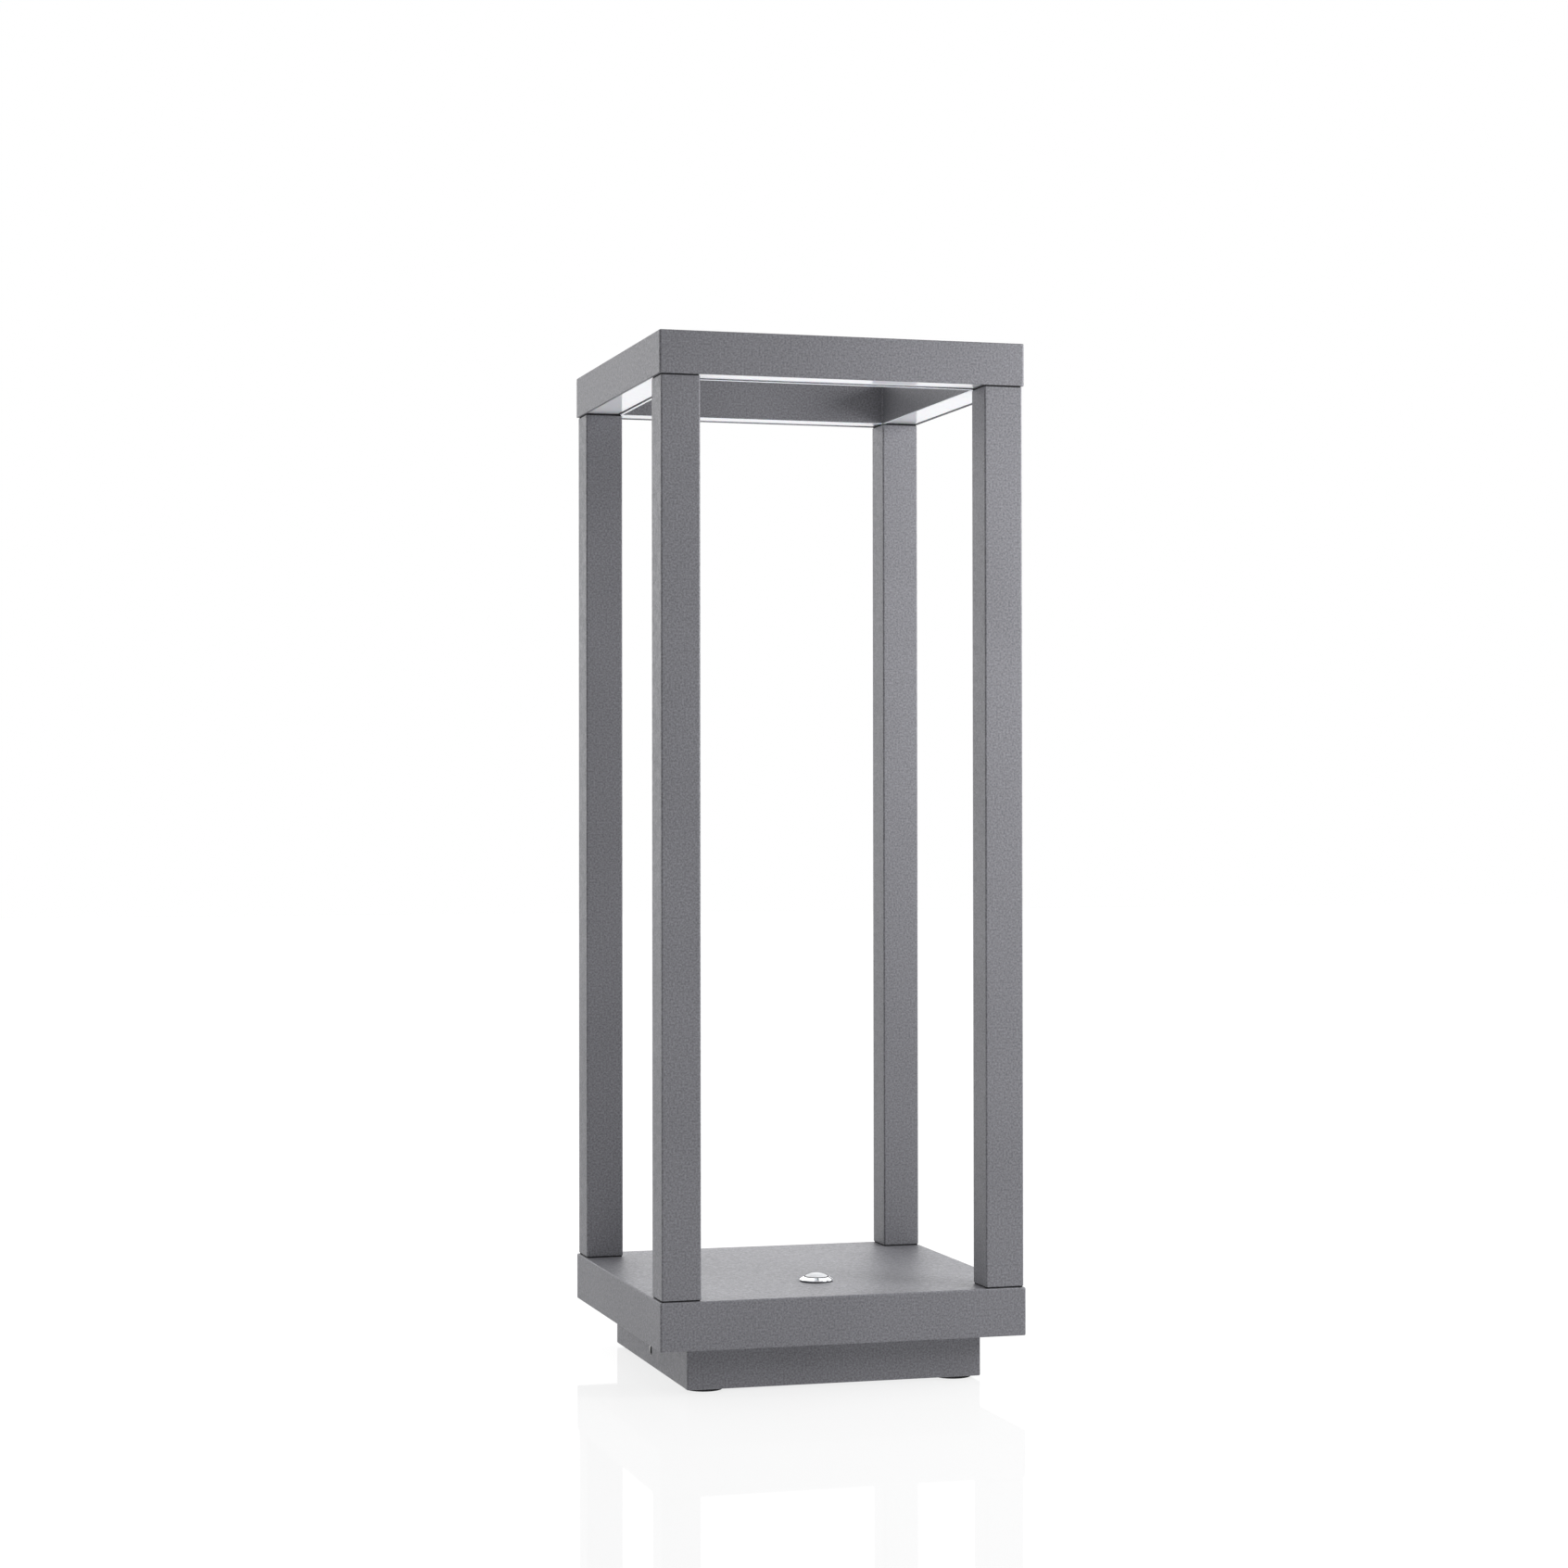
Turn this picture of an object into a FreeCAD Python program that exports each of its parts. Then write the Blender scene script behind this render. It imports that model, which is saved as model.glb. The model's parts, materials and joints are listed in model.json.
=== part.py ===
import FreeCAD, Part
import math
import os
import re

import Sketcher

# Square-frame garden lantern. Millimetres, +Z up, origin on the ground at the footprint's centre.
# The front faces -Y and carries the push button's side of the slab; the left side faces -X.

SIZES = {
    # whole lantern
    "lantern_width": 200,
    "lantern_height": 552.5,
    "corner_radius": 1.2,
    "edge_radius": 0.6,
    "fit_gap": 0.3,
    "running_gap": 0.05,
    # plinth and feet
    "foot_height": 1.5,
    "foot_diameter": 20,
    "foot_margin": 2,
    "foot_rounding": 0.6,
    "overhang": 19,
    "plinth_height": 23.5,
    "plinth_wall": 2.5,
    "floor_thickness": 2.5,
    # slab
    "slab_height": 25.5,
    "slab_roof": 3,
    "slab_wall": 4.5,
    "rebate_wall": 2,
    "flange_thickness": 4,
    "gasket_thickness": 1,
    # screws that hold the flange
    "screw_spread": 45,
    "screw_diameter": 4,
    "screw_length": 9,
    "screw_head_lip": 1.5,
    "screw_head_height": 2,
    "screw_recess": 0.2,
    "screw_key": 3,
    "screw_key_floor": 0.8,
    "screw_end_room": 1,
    "boss_wall": 2,
    "boss_overlap": 0.5,
    # ring
    "ring_height": 22.5,
    "ring_wall": 1.5,
    "ring_roof": 2.5,
    "corner_floor": 3,
    "ring_boss_wall": 2.5,
    "snap_rib": 0.6,
    "snap_rib_height": 1,
    # diffusers
    "diffuser_recess": 0.4,
    "diffuser_thickness": 2,
    "diffuser_leg": 1.2,
    "diffuser_leg_height": 5.5,
    "barb": 0.5,
    "seal_recess": 0.9,
    # light boards
    "board_side_gap": 3.5,
    "board_end_gap": 4,
    "board_thickness": 1.6,
    "chip_length": 3.5,
    "chip_width": 2.8,
    "chip_height": 0.8,
    "chip_margin": 11,
    "ring_plug_length": 5,
    "ring_plug_height": 5,
    # posts
    "post_size": 21,
    "post_inset": 1,
    "post_wall": 1.8,
    "post_rounding": 0.8,
    "post_seal": 0.7,
    "seal_setback": 0.5,
    "spigot_height": 4,
    # tie rods
    "rod_diameter": 4,
    "thread_depth": 12,
    "rod_tail": 1.5,
    "washer_lip": 2.5,
    "washer_thickness": 0.8,
    "nut_wall": 1.5,
    "nut_height": 3.2,
    # push button
    "button_forward": 45,
    "button_lip": 1,
    "button_edge": 0.6,
    "bezel_height": 2.4,
    "bezel_rim": 0.7,
    "barrel_diameter": 16,
    "barrel_length": 20,
    "barrel_wall": 0.8,
    "cap_gap": 0.2,
    "cap_lip": 0.35,
    "cap_rim": 0.3,
    "cap_dome": 1.7,
    "collar_step": 0.8,
    "collar_depth": 4,
    "collar_height": 1.7,
    "stem_diameter": 5,
    "button_travel": 2,
    "stem_clearance": 0.5,
    "button_seal": 0.4,
    "button_nut_wall": 1.5,
    "button_nut_height": 3,
    "block_depth": 14,
    "block_tail": 5,
    "terminal_width": 2.8,
    "terminal_thickness": 0.8,
    "terminal_length": 5,
    "terminal_spacing": 6,
    "spring_wire": 0.6,
    "spring_turns": 5,
    # battery
    "cell_diameter": 18.4,
    "cell_length": 65,
    "cell_nub": 5.5,
    "cell_nub_height": 1,
    "holder_base": 2,
    "holder_wall": 1.6,
    "holder_rim": 9,
    "holder_gap": 19,
    "small_screw": 2.9,
    "small_head": 5.2,
    "small_head_height": 1.6,
    "small_screw_length": 6,
    "seat_lip": 1,
    # driver board
    "driver_length": 44,
    "driver_width": 36,
    "driver_side_gap": 12.5,
    "driver_front_gap": 16.5,
    "standoff_height": 5,
    "standoff_diameter": 6,
    "standoff_inset": 3.5,
    "plug_length": 8,
    "plug_width": 6,
    "plug_height": 6,
    "plug_inset": 12,
    "plug_margin": 1,
    "plug_spacing": 9,
    "choke_diameter": 10,
    "choke_height": 5,
    "choke_offset": 5,
    "can_diameter": 6.3,
    "can_height": 7.7,
    "can_offset": 14,
    "can_spacing": 8,
    # charging socket
    "inlet_height": 8.4,
    "inlet_diameter": 5.6,
    "socket_length": 14,
    "socket_width": 9,
    "socket_bore_depth": 9.5,
    "pin_diameter": 2,
    "pin_rounding": 0.4,
    # leads
    "lead_diameter": 2.4,
    "jumper_diameter": 1.2,
    "lead_hole": 3.6,
    "lead_margin": 1.2,
    "lead_rise": 8,
    "battery_lead_rise": 9,
    "battery_lead_room": 7,
    "battery_lead_drop": 3,
    "button_lead_drop": 7,
    "socket_lead_run": 14,
    "socket_lead_turn": 24,
    "socket_lead_end": 13.6,
    "jumper_inset": 1,
}

# Places worked out from the sizes above.
PLACES = {
    "plinth_width": "lantern_width - 2 * overhang",
    "slab_base": "foot_height + plinth_height",
    "slab_top": "slab_base + slab_height",
    "slab_ceiling": "slab_top - slab_roof",
    "flange_top": "slab_base + flange_thickness",
    "gasket_top": "flange_top + gasket_thickness",
    "head_base": "slab_base + screw_recess",
    "head_seat": "head_base + screw_head_height",
    "flange_half": "lantern_width / 2 - rebate_wall - fit_gap",
    "floor_top": "foot_height + floor_thickness",
    "plinth_inside": "plinth_width / 2 - plinth_wall",
    "boss_diameter": "screw_diameter + 2 * boss_wall",
    "screw_head": "screw_diameter + 2 * screw_head_lip",
    "screw_line": "lantern_width / 2 - slab_wall - boss_diameter / 2 + boss_overlap",
    "foot_centre": "plinth_width / 2 - foot_margin - foot_diameter / 2",
    "ring_base": "lantern_height - ring_height",
    "ring_ceiling": "lantern_height - ring_roof",
    "ring_bar": "post_inset + post_size",
    "opening_half": "lantern_width / 2 - ring_bar",
    "post_base": "slab_top + post_seal",
    "post_length": "ring_base - slab_top - 2 * post_seal",
    "post_centre": "lantern_width / 2 - post_inset - post_size / 2",
    "post_bore": "post_size - 2 * post_wall",
    "spigot_size": "post_bore - 2 * fit_gap",
    "rod_hole": "rod_diameter + 2 * running_gap",
    "ring_boss": "rod_diameter + 2 * ring_boss_wall",
    "washer_diameter": "rod_diameter + 2 * washer_lip",
    "nut_flats": "rod_diameter + 2 * nut_wall",
    "rod_top": "ring_base + thread_depth - fit_gap",
    "nut_base": "slab_ceiling - washer_thickness - nut_height",
    "diffuser_base": "ring_base + diffuser_recess",
    "diffuser_outer": "lantern_width / 2 - ring_wall - fit_gap",
    "diffuser_inner": "opening_half + ring_wall + snap_rib + fit_gap",
    "board_centre": "lantern_width / 2 - ring_bar / 2",
    "board_width": "ring_bar - 2 * ring_wall - 2 * board_side_gap",
    "board_length": "2 * opening_half - 2 * board_end_gap",
    "board_base": "ring_ceiling - board_thickness",
    "bezel_top_level": "slab_top + bezel_height",
    "button_flange": "barrel_diameter + 2 * button_lip",
    "button_nut_flats": "barrel_diameter + 2 * button_nut_wall",
    "collar_diameter": "barrel_diameter - 2 * barrel_wall - 2 * fit_gap",
    "cap_diameter": "collar_diameter - 2 * collar_step",
    "cap_bore": "cap_diameter + 2 * cap_gap",
    "bezel_top": "cap_diameter + 2 * bezel_rim",
    "spring_diameter": "(collar_diameter + stem_diameter) / 2",
    "collar_top": "slab_top - collar_depth - fit_gap",
    "collar_base": "collar_top - collar_height",
    "block_top": "slab_top - block_depth",
    "stem_base": "block_top + button_travel + stem_clearance",
    "block_base": "slab_top - barrel_length - block_tail",
    "barrel_base": "slab_top - barrel_length",
    "terminal_base": "block_base - terminal_length",
    "cell_axis": "floor_top + holder_base + cell_diameter / 2",
    "cell_apart": "(cell_diameter + holder_wall + fit_gap) / 2",
    "holder_half_length": "cell_length / 2 + cell_nub_height + holder_wall + fit_gap",
    "holder_half_width": "cell_diameter + fit_gap + 1.5 * holder_wall",
    "holder_back": "plinth_inside - holder_half_width - holder_gap",
    "driver_across": "plinth_inside - driver_length / 2 - driver_side_gap",
    "driver_forward": "plinth_inside - driver_width / 2 - driver_front_gap",
    "driver_base": "floor_top + standoff_height",
    "driver_top": "driver_base + board_thickness",
    "inlet_level": "foot_height + inlet_height",
    "socket_back": "plinth_inside - socket_length",
    "lead_level": "flange_top + lead_rise",
    "lead_place": "post_centre - spigot_size / 2 + lead_hole / 2 + lead_margin",
}

CORNERS = (
    ("front_left", -1, -1),
    ("front_right", 1, -1),
    ("back_left", -1, 1),
    ("back_right", 1, 1),
)
SIDES = (("front", 0), ("right", 90), ("back", 180), ("left", 270))
CHIPS_PER_BOARD = 10
UP = FreeCAD.Vector(0, 0, 1)
ARC_SHARE = 0.45  # of a lead's shorter run, taken up by the arc at its end

doc = FreeCAD.newDocument("garden_lantern")
sheet = doc.addObject("Spreadsheet::Sheet", "Sizes")
for row, (name, size) in enumerate(SIZES.items(), start=1):
    sheet.set(f"A{row}", str(size))
    sheet.setAlias(f"A{row}", name)
doc.recompute()
pieces = []


# ---------------------------------------------------------------- formulas

def formula(text):
    """Spell a formula of named sizes and places out as an expression on the sheet."""
    def spell(match):
        word = match.group(0)
        if word in PLACES:
            return "(" + formula(PLACES[word]) + ")"
        return "Sizes." + word if word in SIZES else word
    return re.sub(r"[a-z_]+", spell, str(text))


def value(text):
    return float(sheet.evalExpression(formula(text)))


def bind(thing, target, text):
    thing.setExpression(target, formula(text))


# ---------------------------------------------------------------- sketches

def origin_plane(body, role):
    return next(item for item in body.Origin.OriginFeatures if item.Role == role)


def hold_point(drawing, geometry, point, x, y):
    """Fix one point of the geometry at two formulas from the sketch's origin."""
    for kind, text in (("DistanceX", x), ("DistanceY", y)):
        limit = Sketcher.Constraint(kind, -1, 1, geometry, point, value(text))
        bind(drawing, f"Constraints[{drawing.addConstraint(limit)}]", text)


def draw_outline(drawing, points):
    """Closed outline of straight edges."""
    corners = [FreeCAD.Vector(value(x), value(y), 0) for x, y in points]
    first = drawing.GeometryCount
    count = len(corners)
    for index in range(count):
        drawing.addGeometry(Part.LineSegment(corners[index], corners[(index + 1) % count]))
    for index in range(count):
        following = first + (index + 1) % count
        drawing.addConstraint(Sketcher.Constraint("Coincident", first + index, 2, following, 1))
        hold_point(drawing, first + index, 1, *points[index])


def draw_circle(drawing, x, y, diameter):
    middle = FreeCAD.Vector(value(x), value(y), 0)
    index = drawing.addGeometry(Part.Circle(middle, UP, value(diameter) / 2))
    hold_point(drawing, index, 3, x, y)
    size = drawing.addConstraint(Sketcher.Constraint("Diameter", index, value(diameter)))
    bind(drawing, f"Constraints[{size}]", diameter)


def sketch(body, outlines=(), circles=(), plane="XY_Plane", level="0"):
    drawing = body.newObject("Sketcher::SketchObject", body.Label + "_sketch")
    drawing.AttachmentSupport = [(origin_plane(body, plane), "")]
    drawing.MapMode = "FlatFace"
    bind(drawing, "AttachmentOffset.Base.z", level)
    for points in outlines:
        draw_outline(drawing, points)
    for x, y, diameter in circles:
        draw_circle(drawing, x, y, diameter)
    return drawing


def box(low_x, high_x, low_y, high_y):
    return [(low_x, low_y), (high_x, low_y), (high_x, high_y), (low_x, high_y)]


def square(half, x="0", y="0"):
    """Square of half side about a point."""
    return box(f"{x} - ({half})", f"{x} + {half}", f"{y} - ({half})", f"{y} + {half}")


def hexagon(flats, x, y):
    """Hexagon across flats about a point, flats facing X."""
    half, tip, shoulder = f"({flats}) / 2", f"({flats}) / sqrt(3)", f"({flats}) / (2 * sqrt(3))"
    return [
        (f"{x} + {half}", f"{y} - {shoulder}"), (f"{x} + {half}", f"{y} + {shoulder}"),
        (x, f"{y} + {tip}"), (f"{x} - {half}", f"{y} + {shoulder}"),
        (f"{x} - {half}", f"{y} - {shoulder}"), (x, f"{y} - {tip}"),
    ]


# ---------------------------------------------------------------- features

def piece(label):
    body = doc.addObject("PartDesign::Body", label)
    body.Label = label
    pieces.append(body)
    return body


def extrude(body, kind, drawing, length, along):
    feature = body.newObject(kind, body.Label + "_feature")
    feature.Profile = drawing
    bind(feature, "Length", length)
    feature.Reversed = along
    doc.recompute()
    return feature


def pad(body, drawing, length, down=False):
    return extrude(body, "PartDesign::Pad", drawing, length, down)


def pocket(body, drawing, length, up=True):
    return extrude(body, "PartDesign::Pocket", drawing, length, up)


def turn(body, points, kind="PartDesign::Revolution"):
    """Revolve an outline of (radius, height) points about the body's Z axis."""
    drawing = sketch(body, [points], plane="XZ_Plane")
    feature = body.newObject(kind, body.Label + "_turn")
    feature.Profile = drawing
    feature.ReferenceAxis = (drawing, ["V_Axis"])
    feature.Angle = 360
    doc.recompute()
    return feature


def round_edges(body, radius, wanted):
    """Fillet the edges of the body's last feature that the test accepts."""
    base = body.Tip
    names = [f"Edge{n}" for n, edge in enumerate(base.Shape.Edges, start=1) if wanted(edge)]
    feature = body.newObject("PartDesign::Fillet", body.Label + "_fillet")
    feature.Base = (base, names)
    bind(feature, "Radius", radius)
    doc.recompute()


def upright(edge):
    ends = edge.BoundBox
    return ends.ZLength > ends.XLength + ends.YLength


def level_edge(*levels):
    """Test for edges lying wholly at one of the levels."""
    heights = [value(level) for level in levels]

    def test(edge):
        ends = edge.BoundBox
        return ends.ZLength < 1e-6 and any(abs(ends.ZMin - height) < 1e-6 for height in heights)
    return test


def slab_block(body, half, base, height):
    """Square block with rounded upright corners and softened top and bottom edges."""
    pad(body, sketch(body, [square(half)], level=base), height)
    round_edges(body, "corner_radius", upright)
    round_edges(body, "edge_radius", level_edge(base, f"{base} + {height}"))


def place(body, x="0", y="0", z="0", angle=0):
    body.Placement = FreeCAD.Placement(FreeCAD.Vector(), FreeCAD.Rotation(UP, angle))
    for axis, text in (("x", x), ("y", y), ("z", z)):
        bind(body, f"Placement.Base.{axis}", text)


def at_corners(distance):
    return [(f"{right} * {distance}", f"{back} * {distance}") for _, right, back in CORNERS]


# ---------------------------------------------------------------- light ring

def make_top_frame():
    body = piece("top_frame")
    slab_block(body, "lantern_width / 2", "ring_base", "ring_height")
    pocket(body, sketch(body, [square("opening_half")], level="ring_base"), "ring_height")
    inner, outer = "opening_half + ring_wall", "lantern_width / 2 - ring_wall"
    channel = sketch(body, [square(outer), square(inner)], level="ring_base")
    pocket(body, channel, "ring_height - ring_roof")
    ribs = [square(outer), square(f"{outer} - snap_rib")]
    ribs += [square(inner), square(f"{inner} + snap_rib")]
    rib_level = "diffuser_base + diffuser_leg_height - snap_rib_height"
    for pair in (ribs[:2], ribs[2:]):
        pad(body, sketch(body, pair, level=rib_level), "snap_rib_height")
    near, far = "opening_half", "lantern_width / 2 - ring_wall / 2"
    floors = [
        box(f"{right} * ({near if right > 0 else far})", f"{right} * ({far if right > 0 else near})",
            f"{back} * ({near if back > 0 else far})", f"{back} * ({far if back > 0 else near})")
        for _, right, back in CORNERS
    ]
    pad(body, sketch(body, floors, level="ring_base"), "corner_floor")
    centres = at_corners("post_centre")
    bosses = sketch(body, circles=[(x, y, "ring_boss") for x, y in centres], level="ring_base")
    pad(body, bosses, "ring_height - ring_roof")
    spigots = sketch(body, [square("spigot_size / 2", x, y) for x, y in centres], level="ring_base")
    pad(body, spigots, "spigot_height", down=True)
    below = "ring_base - spigot_height"
    threads = sketch(body, circles=[(x, y, "rod_hole") for x, y in centres], level=below)
    pocket(body, threads, "spigot_height + thread_depth")
    lead_way = sketch(body, circles=[("lead_place", "lead_place", "lead_hole")], level=below)
    pocket(body, lead_way, "spigot_height + corner_floor")


def make_diffuser(side, angle):
    """Opal strip across the channel's mouth, with two barbed legs that snap over the ribs."""
    body = piece("diffuser_" + side)
    face_top = "diffuser_base + diffuser_thickness"
    leg_top = "diffuser_base + diffuser_leg_height + snap_rib_height + barb"
    hook = "diffuser_base + diffuser_leg_height + fit_gap / 2"
    low, high = "-(diffuser_outer)", "-(diffuser_inner)"
    wall_side = "-(lantern_width / 2 - ring_wall - snap_rib - fit_gap)"
    profile = [
        (low, "diffuser_base"), (high, "diffuser_base"), (high, hook), (f"{high} + barb", hook),
        (f"{high} - diffuser_leg / 2", leg_top), (f"{high} - diffuser_leg", leg_top),
        (f"{high} - diffuser_leg", face_top), (f"{wall_side} + diffuser_leg", face_top),
        (f"{wall_side} + diffuser_leg", leg_top), (f"{wall_side} + diffuser_leg / 2", leg_top),
        (f"{wall_side} - barb", hook), (wall_side, hook), (wall_side, face_top), (low, face_top),
    ]
    half = "opening_half - fit_gap"
    drawing = sketch(body, [profile], plane="YZ_Plane", level=f"-({half})")
    pad(body, drawing, f"2 * ({half})")
    place(body, angle=angle)


def make_diffuser_seal(side, angle):
    """Black strip pressed into the groove between a diffuser and the ring's inner wall."""
    body = piece("diffuser_seal_" + side)
    profile = box("-(diffuser_inner)", "-(opening_half + ring_wall)",
                  "ring_base + seal_recess", "diffuser_base + diffuser_thickness")
    half = "opening_half - fit_gap"
    drawing = sketch(body, [profile], plane="YZ_Plane", level=f"-({half})")
    pad(body, drawing, f"2 * ({half})")
    place(body, angle=angle)


def make_led_board(side, angle):
    body = piece("led_board_" + side)
    outline = box("-(board_length / 2)", "board_length / 2",
                  "-(board_centre + board_width / 2)", "-(board_centre - board_width / 2)")
    pad(body, sketch(body, [outline], level="board_base"), "board_thickness")
    place(body, angle=angle)


def make_led_chips():
    """Row of packages under each board, all sides in one group."""
    body = piece("led_chips")
    outlines = []
    for index in range(CHIPS_PER_BOARD):
        share = index / (CHIPS_PER_BOARD - 1) - 0.5
        along = f"{share} * (board_length - 2 * chip_margin)"
        for sign in (-1, 1):
            across = f"{sign} * board_centre"
            outlines.append(box(f"{along} - chip_length / 2", f"{along} + chip_length / 2",
                                f"{across} - chip_width / 2", f"{across} + chip_width / 2"))
            outlines.append(box(f"{across} - chip_width / 2", f"{across} + chip_width / 2",
                                f"{along} - chip_length / 2", f"{along} + chip_length / 2"))
    pad(body, sketch(body, outlines, level="board_base"), "chip_height", down=True)


def make_led_plug():
    """Plug under the end of the right board, where the supply lead arrives."""
    body = piece("led_plug")
    end = "board_length / 2"
    outline = box("lead_place - plug_width / 2", "lead_place + plug_width / 2",
                  f"{end} - ring_plug_length", end)
    pad(body, sketch(body, [outline], level="board_base"), "ring_plug_height", down=True)


# ---------------------------------------------------------------- posts

def make_post(name, right, back):
    body = piece("post_" + name)
    pad(body, sketch(body, [square("post_size / 2")]), "post_length")
    round_edges(body, "post_rounding", upright)
    pocket(body, sketch(body, [square("post_bore / 2")]), "post_length")
    place(body, f"{right} * post_centre", f"{back} * post_centre", "post_base")


def make_post_seal(end, level, name, right, back):
    body = piece(f"{end}_seal_{name}")
    frame = [square("post_size / 2 - seal_setback"), square("post_bore / 2")]
    pad(body, sketch(body, frame), "post_seal")
    place(body, f"{right} * post_centre", f"{back} * post_centre", level)


def make_tie_rods():
    """A threaded rod through each post, from the ring's boss to below the slab's roof."""
    centres = at_corners("post_centre")
    rods = piece("tie_rods")
    low = "nut_base - rod_tail"
    circles = [(x, y, "rod_diameter") for x, y in centres]
    pad(rods, sketch(rods, circles=circles, level=low), f"rod_top - ({low})")
    washers = piece("tie_washers")
    rings = [(x, y, size) for x, y in centres for size in ("washer_diameter", "rod_hole")]
    level = "slab_ceiling - washer_thickness"
    pad(washers, sketch(washers, circles=rings, level=level), "washer_thickness")
    nuts = piece("tie_nuts")
    flats = [hexagon("nut_flats", x, y) for x, y in centres]
    holes = [(x, y, "rod_hole") for x, y in centres]
    pad(nuts, sketch(nuts, flats, holes, level="nut_base"), "nut_height")


# ---------------------------------------------------------------- base

def flange_screw_centres():
    """Two screws along each side of the flange."""
    centres = []
    for side in (-1, 1):
        for along in (-1, 1):
            centres.append((f"{side} * screw_line", f"{along} * screw_spread"))
            centres.append((f"{along} * screw_spread", f"{side} * screw_line"))
    return centres


def make_base_cover():
    body = piece("base_cover")
    slab_block(body, "lantern_width / 2", "slab_base", "slab_height")
    cavity = sketch(body, [square("lantern_width / 2 - slab_wall")], level="slab_base")
    pocket(body, cavity, "slab_height - slab_roof")
    rebate = sketch(body, [square("lantern_width / 2 - rebate_wall")], level="slab_base")
    pocket(body, rebate, "flange_thickness + gasket_thickness")
    screws = flange_screw_centres()
    bosses = sketch(body, circles=[(x, y, "boss_diameter") for x, y in screws], level="gasket_top")
    pad(body, bosses, "slab_ceiling - gasket_top")
    bores = [(x, y, "screw_diameter + 2 * running_gap") for x, y in screws]
    depth = "head_seat + screw_length - gasket_top + screw_end_room"
    pocket(body, sketch(body, circles=bores, level="gasket_top"), depth)
    centres = at_corners("post_centre")
    spigots = sketch(body, [square("spigot_size / 2", x, y) for x, y in centres], level="slab_top")
    pad(body, spigots, "spigot_height")
    through = [(x, y, "rod_hole") for x, y in centres]
    through.append(("lead_place", "lead_place", "lead_hole"))
    holes = sketch(body, circles=through, level="slab_ceiling")
    pocket(body, holes, "slab_roof + spigot_height")
    button = [("0", "-button_forward", "barrel_diameter + 2 * running_gap")]
    pocket(body, sketch(body, circles=button, level="slab_ceiling"), "slab_roof")


def driver_corners():
    """Screw places at the driver board's corners."""
    reach_x, reach_y = "driver_length / 2 - standoff_inset", "driver_width / 2 - standoff_inset"
    return [(f"driver_across + {right} * ({reach_x})", f"-driver_forward + {back} * ({reach_y})")
            for _, right, back in CORNERS]


def holder_screw_places():
    return [(f"{side} * (holder_half_length + small_head)", "holder_back") for side in (-1, 1)]


def make_lower_housing():
    """Plinth tray with a floor, and the flange that closes the slab from below."""
    body = piece("lower_housing")
    slab_block(body, "plinth_width / 2", "foot_height", "plinth_height")
    pad(body, sketch(body, [square("flange_half")], level="slab_base"), "flange_thickness")
    tray = sketch(body, [square("plinth_inside")], level="floor_top")
    pocket(body, tray, "flange_top - floor_top")
    clear = [(x, y, "screw_diameter + 2 * fit_gap") for x, y in flange_screw_centres()]
    pocket(body, sketch(body, circles=clear, level="slab_base"), "flange_thickness")
    recesses = [(x, y, "screw_head + 2 * fit_gap") for x, y in flange_screw_centres()]
    pocket(body, sketch(body, circles=recesses, level="slab_base"), "head_seat - slab_base")
    standoffs = [(x, y, "standoff_diameter") for x, y in driver_corners()]
    pad(body, sketch(body, circles=standoffs, level="floor_top"), "standoff_height")
    seats = [(x, y, "small_head + 2 * seat_lip") for x, y in holder_screw_places()]
    pad(body, sketch(body, circles=seats, level="floor_top"), "holder_base")
    threads = [(x, y, "small_screw + 2 * running_gap") for x, y in driver_corners()]
    pocket(body, sketch(body, circles=threads, level="floor_top"), "standoff_height")
    threads = [(x, y, "small_screw + 2 * running_gap") for x, y in holder_screw_places()]
    start = "floor_top - floor_thickness / 2"
    pocket(body, sketch(body, circles=threads, level=start), "holder_base + floor_thickness / 2")
    inlet = sketch(body, circles=[("0", "inlet_level", "inlet_diameter")], plane="YZ_Plane",
                   level="-plinth_width / 2")
    pocket(body, inlet, "plinth_wall")


def make_housing_seal():
    body = piece("housing_seal")
    loop = [square("flange_half"), square("lantern_width / 2 - slab_wall + fit_gap")]
    pad(body, sketch(body, loop, level="flange_top"), "gasket_thickness")


def make_housing_screws():
    """Low socket-head screws up through the flange, their heads sunk in it."""
    body = piece("housing_screws")
    centres = flange_screw_centres()
    heads = [(x, y, "screw_head") for x, y in centres]
    pad(body, sketch(body, circles=heads, level="head_base"), "screw_head_height")
    shanks = [(x, y, "screw_diameter") for x, y in centres]
    pad(body, sketch(body, circles=shanks, level="head_seat"), "screw_length")
    keys = [hexagon("screw_key", x, y) for x, y in centres]
    pocket(body, sketch(body, keys, level="head_base"), "screw_head_height - screw_key_floor")


def make_foot(name, right, back):
    body = piece("foot_" + name)
    pad(body, sketch(body, circles=[("0", "0", "foot_diameter")]), "foot_height")
    round_edges(body, "foot_rounding", level_edge("0"))
    place(body, f"{right} * foot_centre", f"{back} * foot_centre")


# ---------------------------------------------------------------- push button

def make_button_bezel():
    """Chromed head and threaded barrel, bored for the cap, wider below its stop."""
    body = piece("button_bezel")
    bore, well = "cap_bore / 2", "collar_diameter / 2 + fit_gap"
    seat = "slab_top + button_seal"
    step = "slab_top - collar_depth"
    turn(body, [
        (bore, "bezel_top_level - cap_lip"), (f"{bore} + cap_lip", "bezel_top_level"),
        ("bezel_top / 2", "bezel_top_level"), ("button_flange / 2", f"{seat} + button_edge"),
        ("button_flange / 2", seat), ("barrel_diameter / 2", seat),
        ("barrel_diameter / 2", "barrel_base"), (well, "barrel_base"), (well, step), (bore, step),
    ])
    place(body, y="-button_forward")


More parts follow.
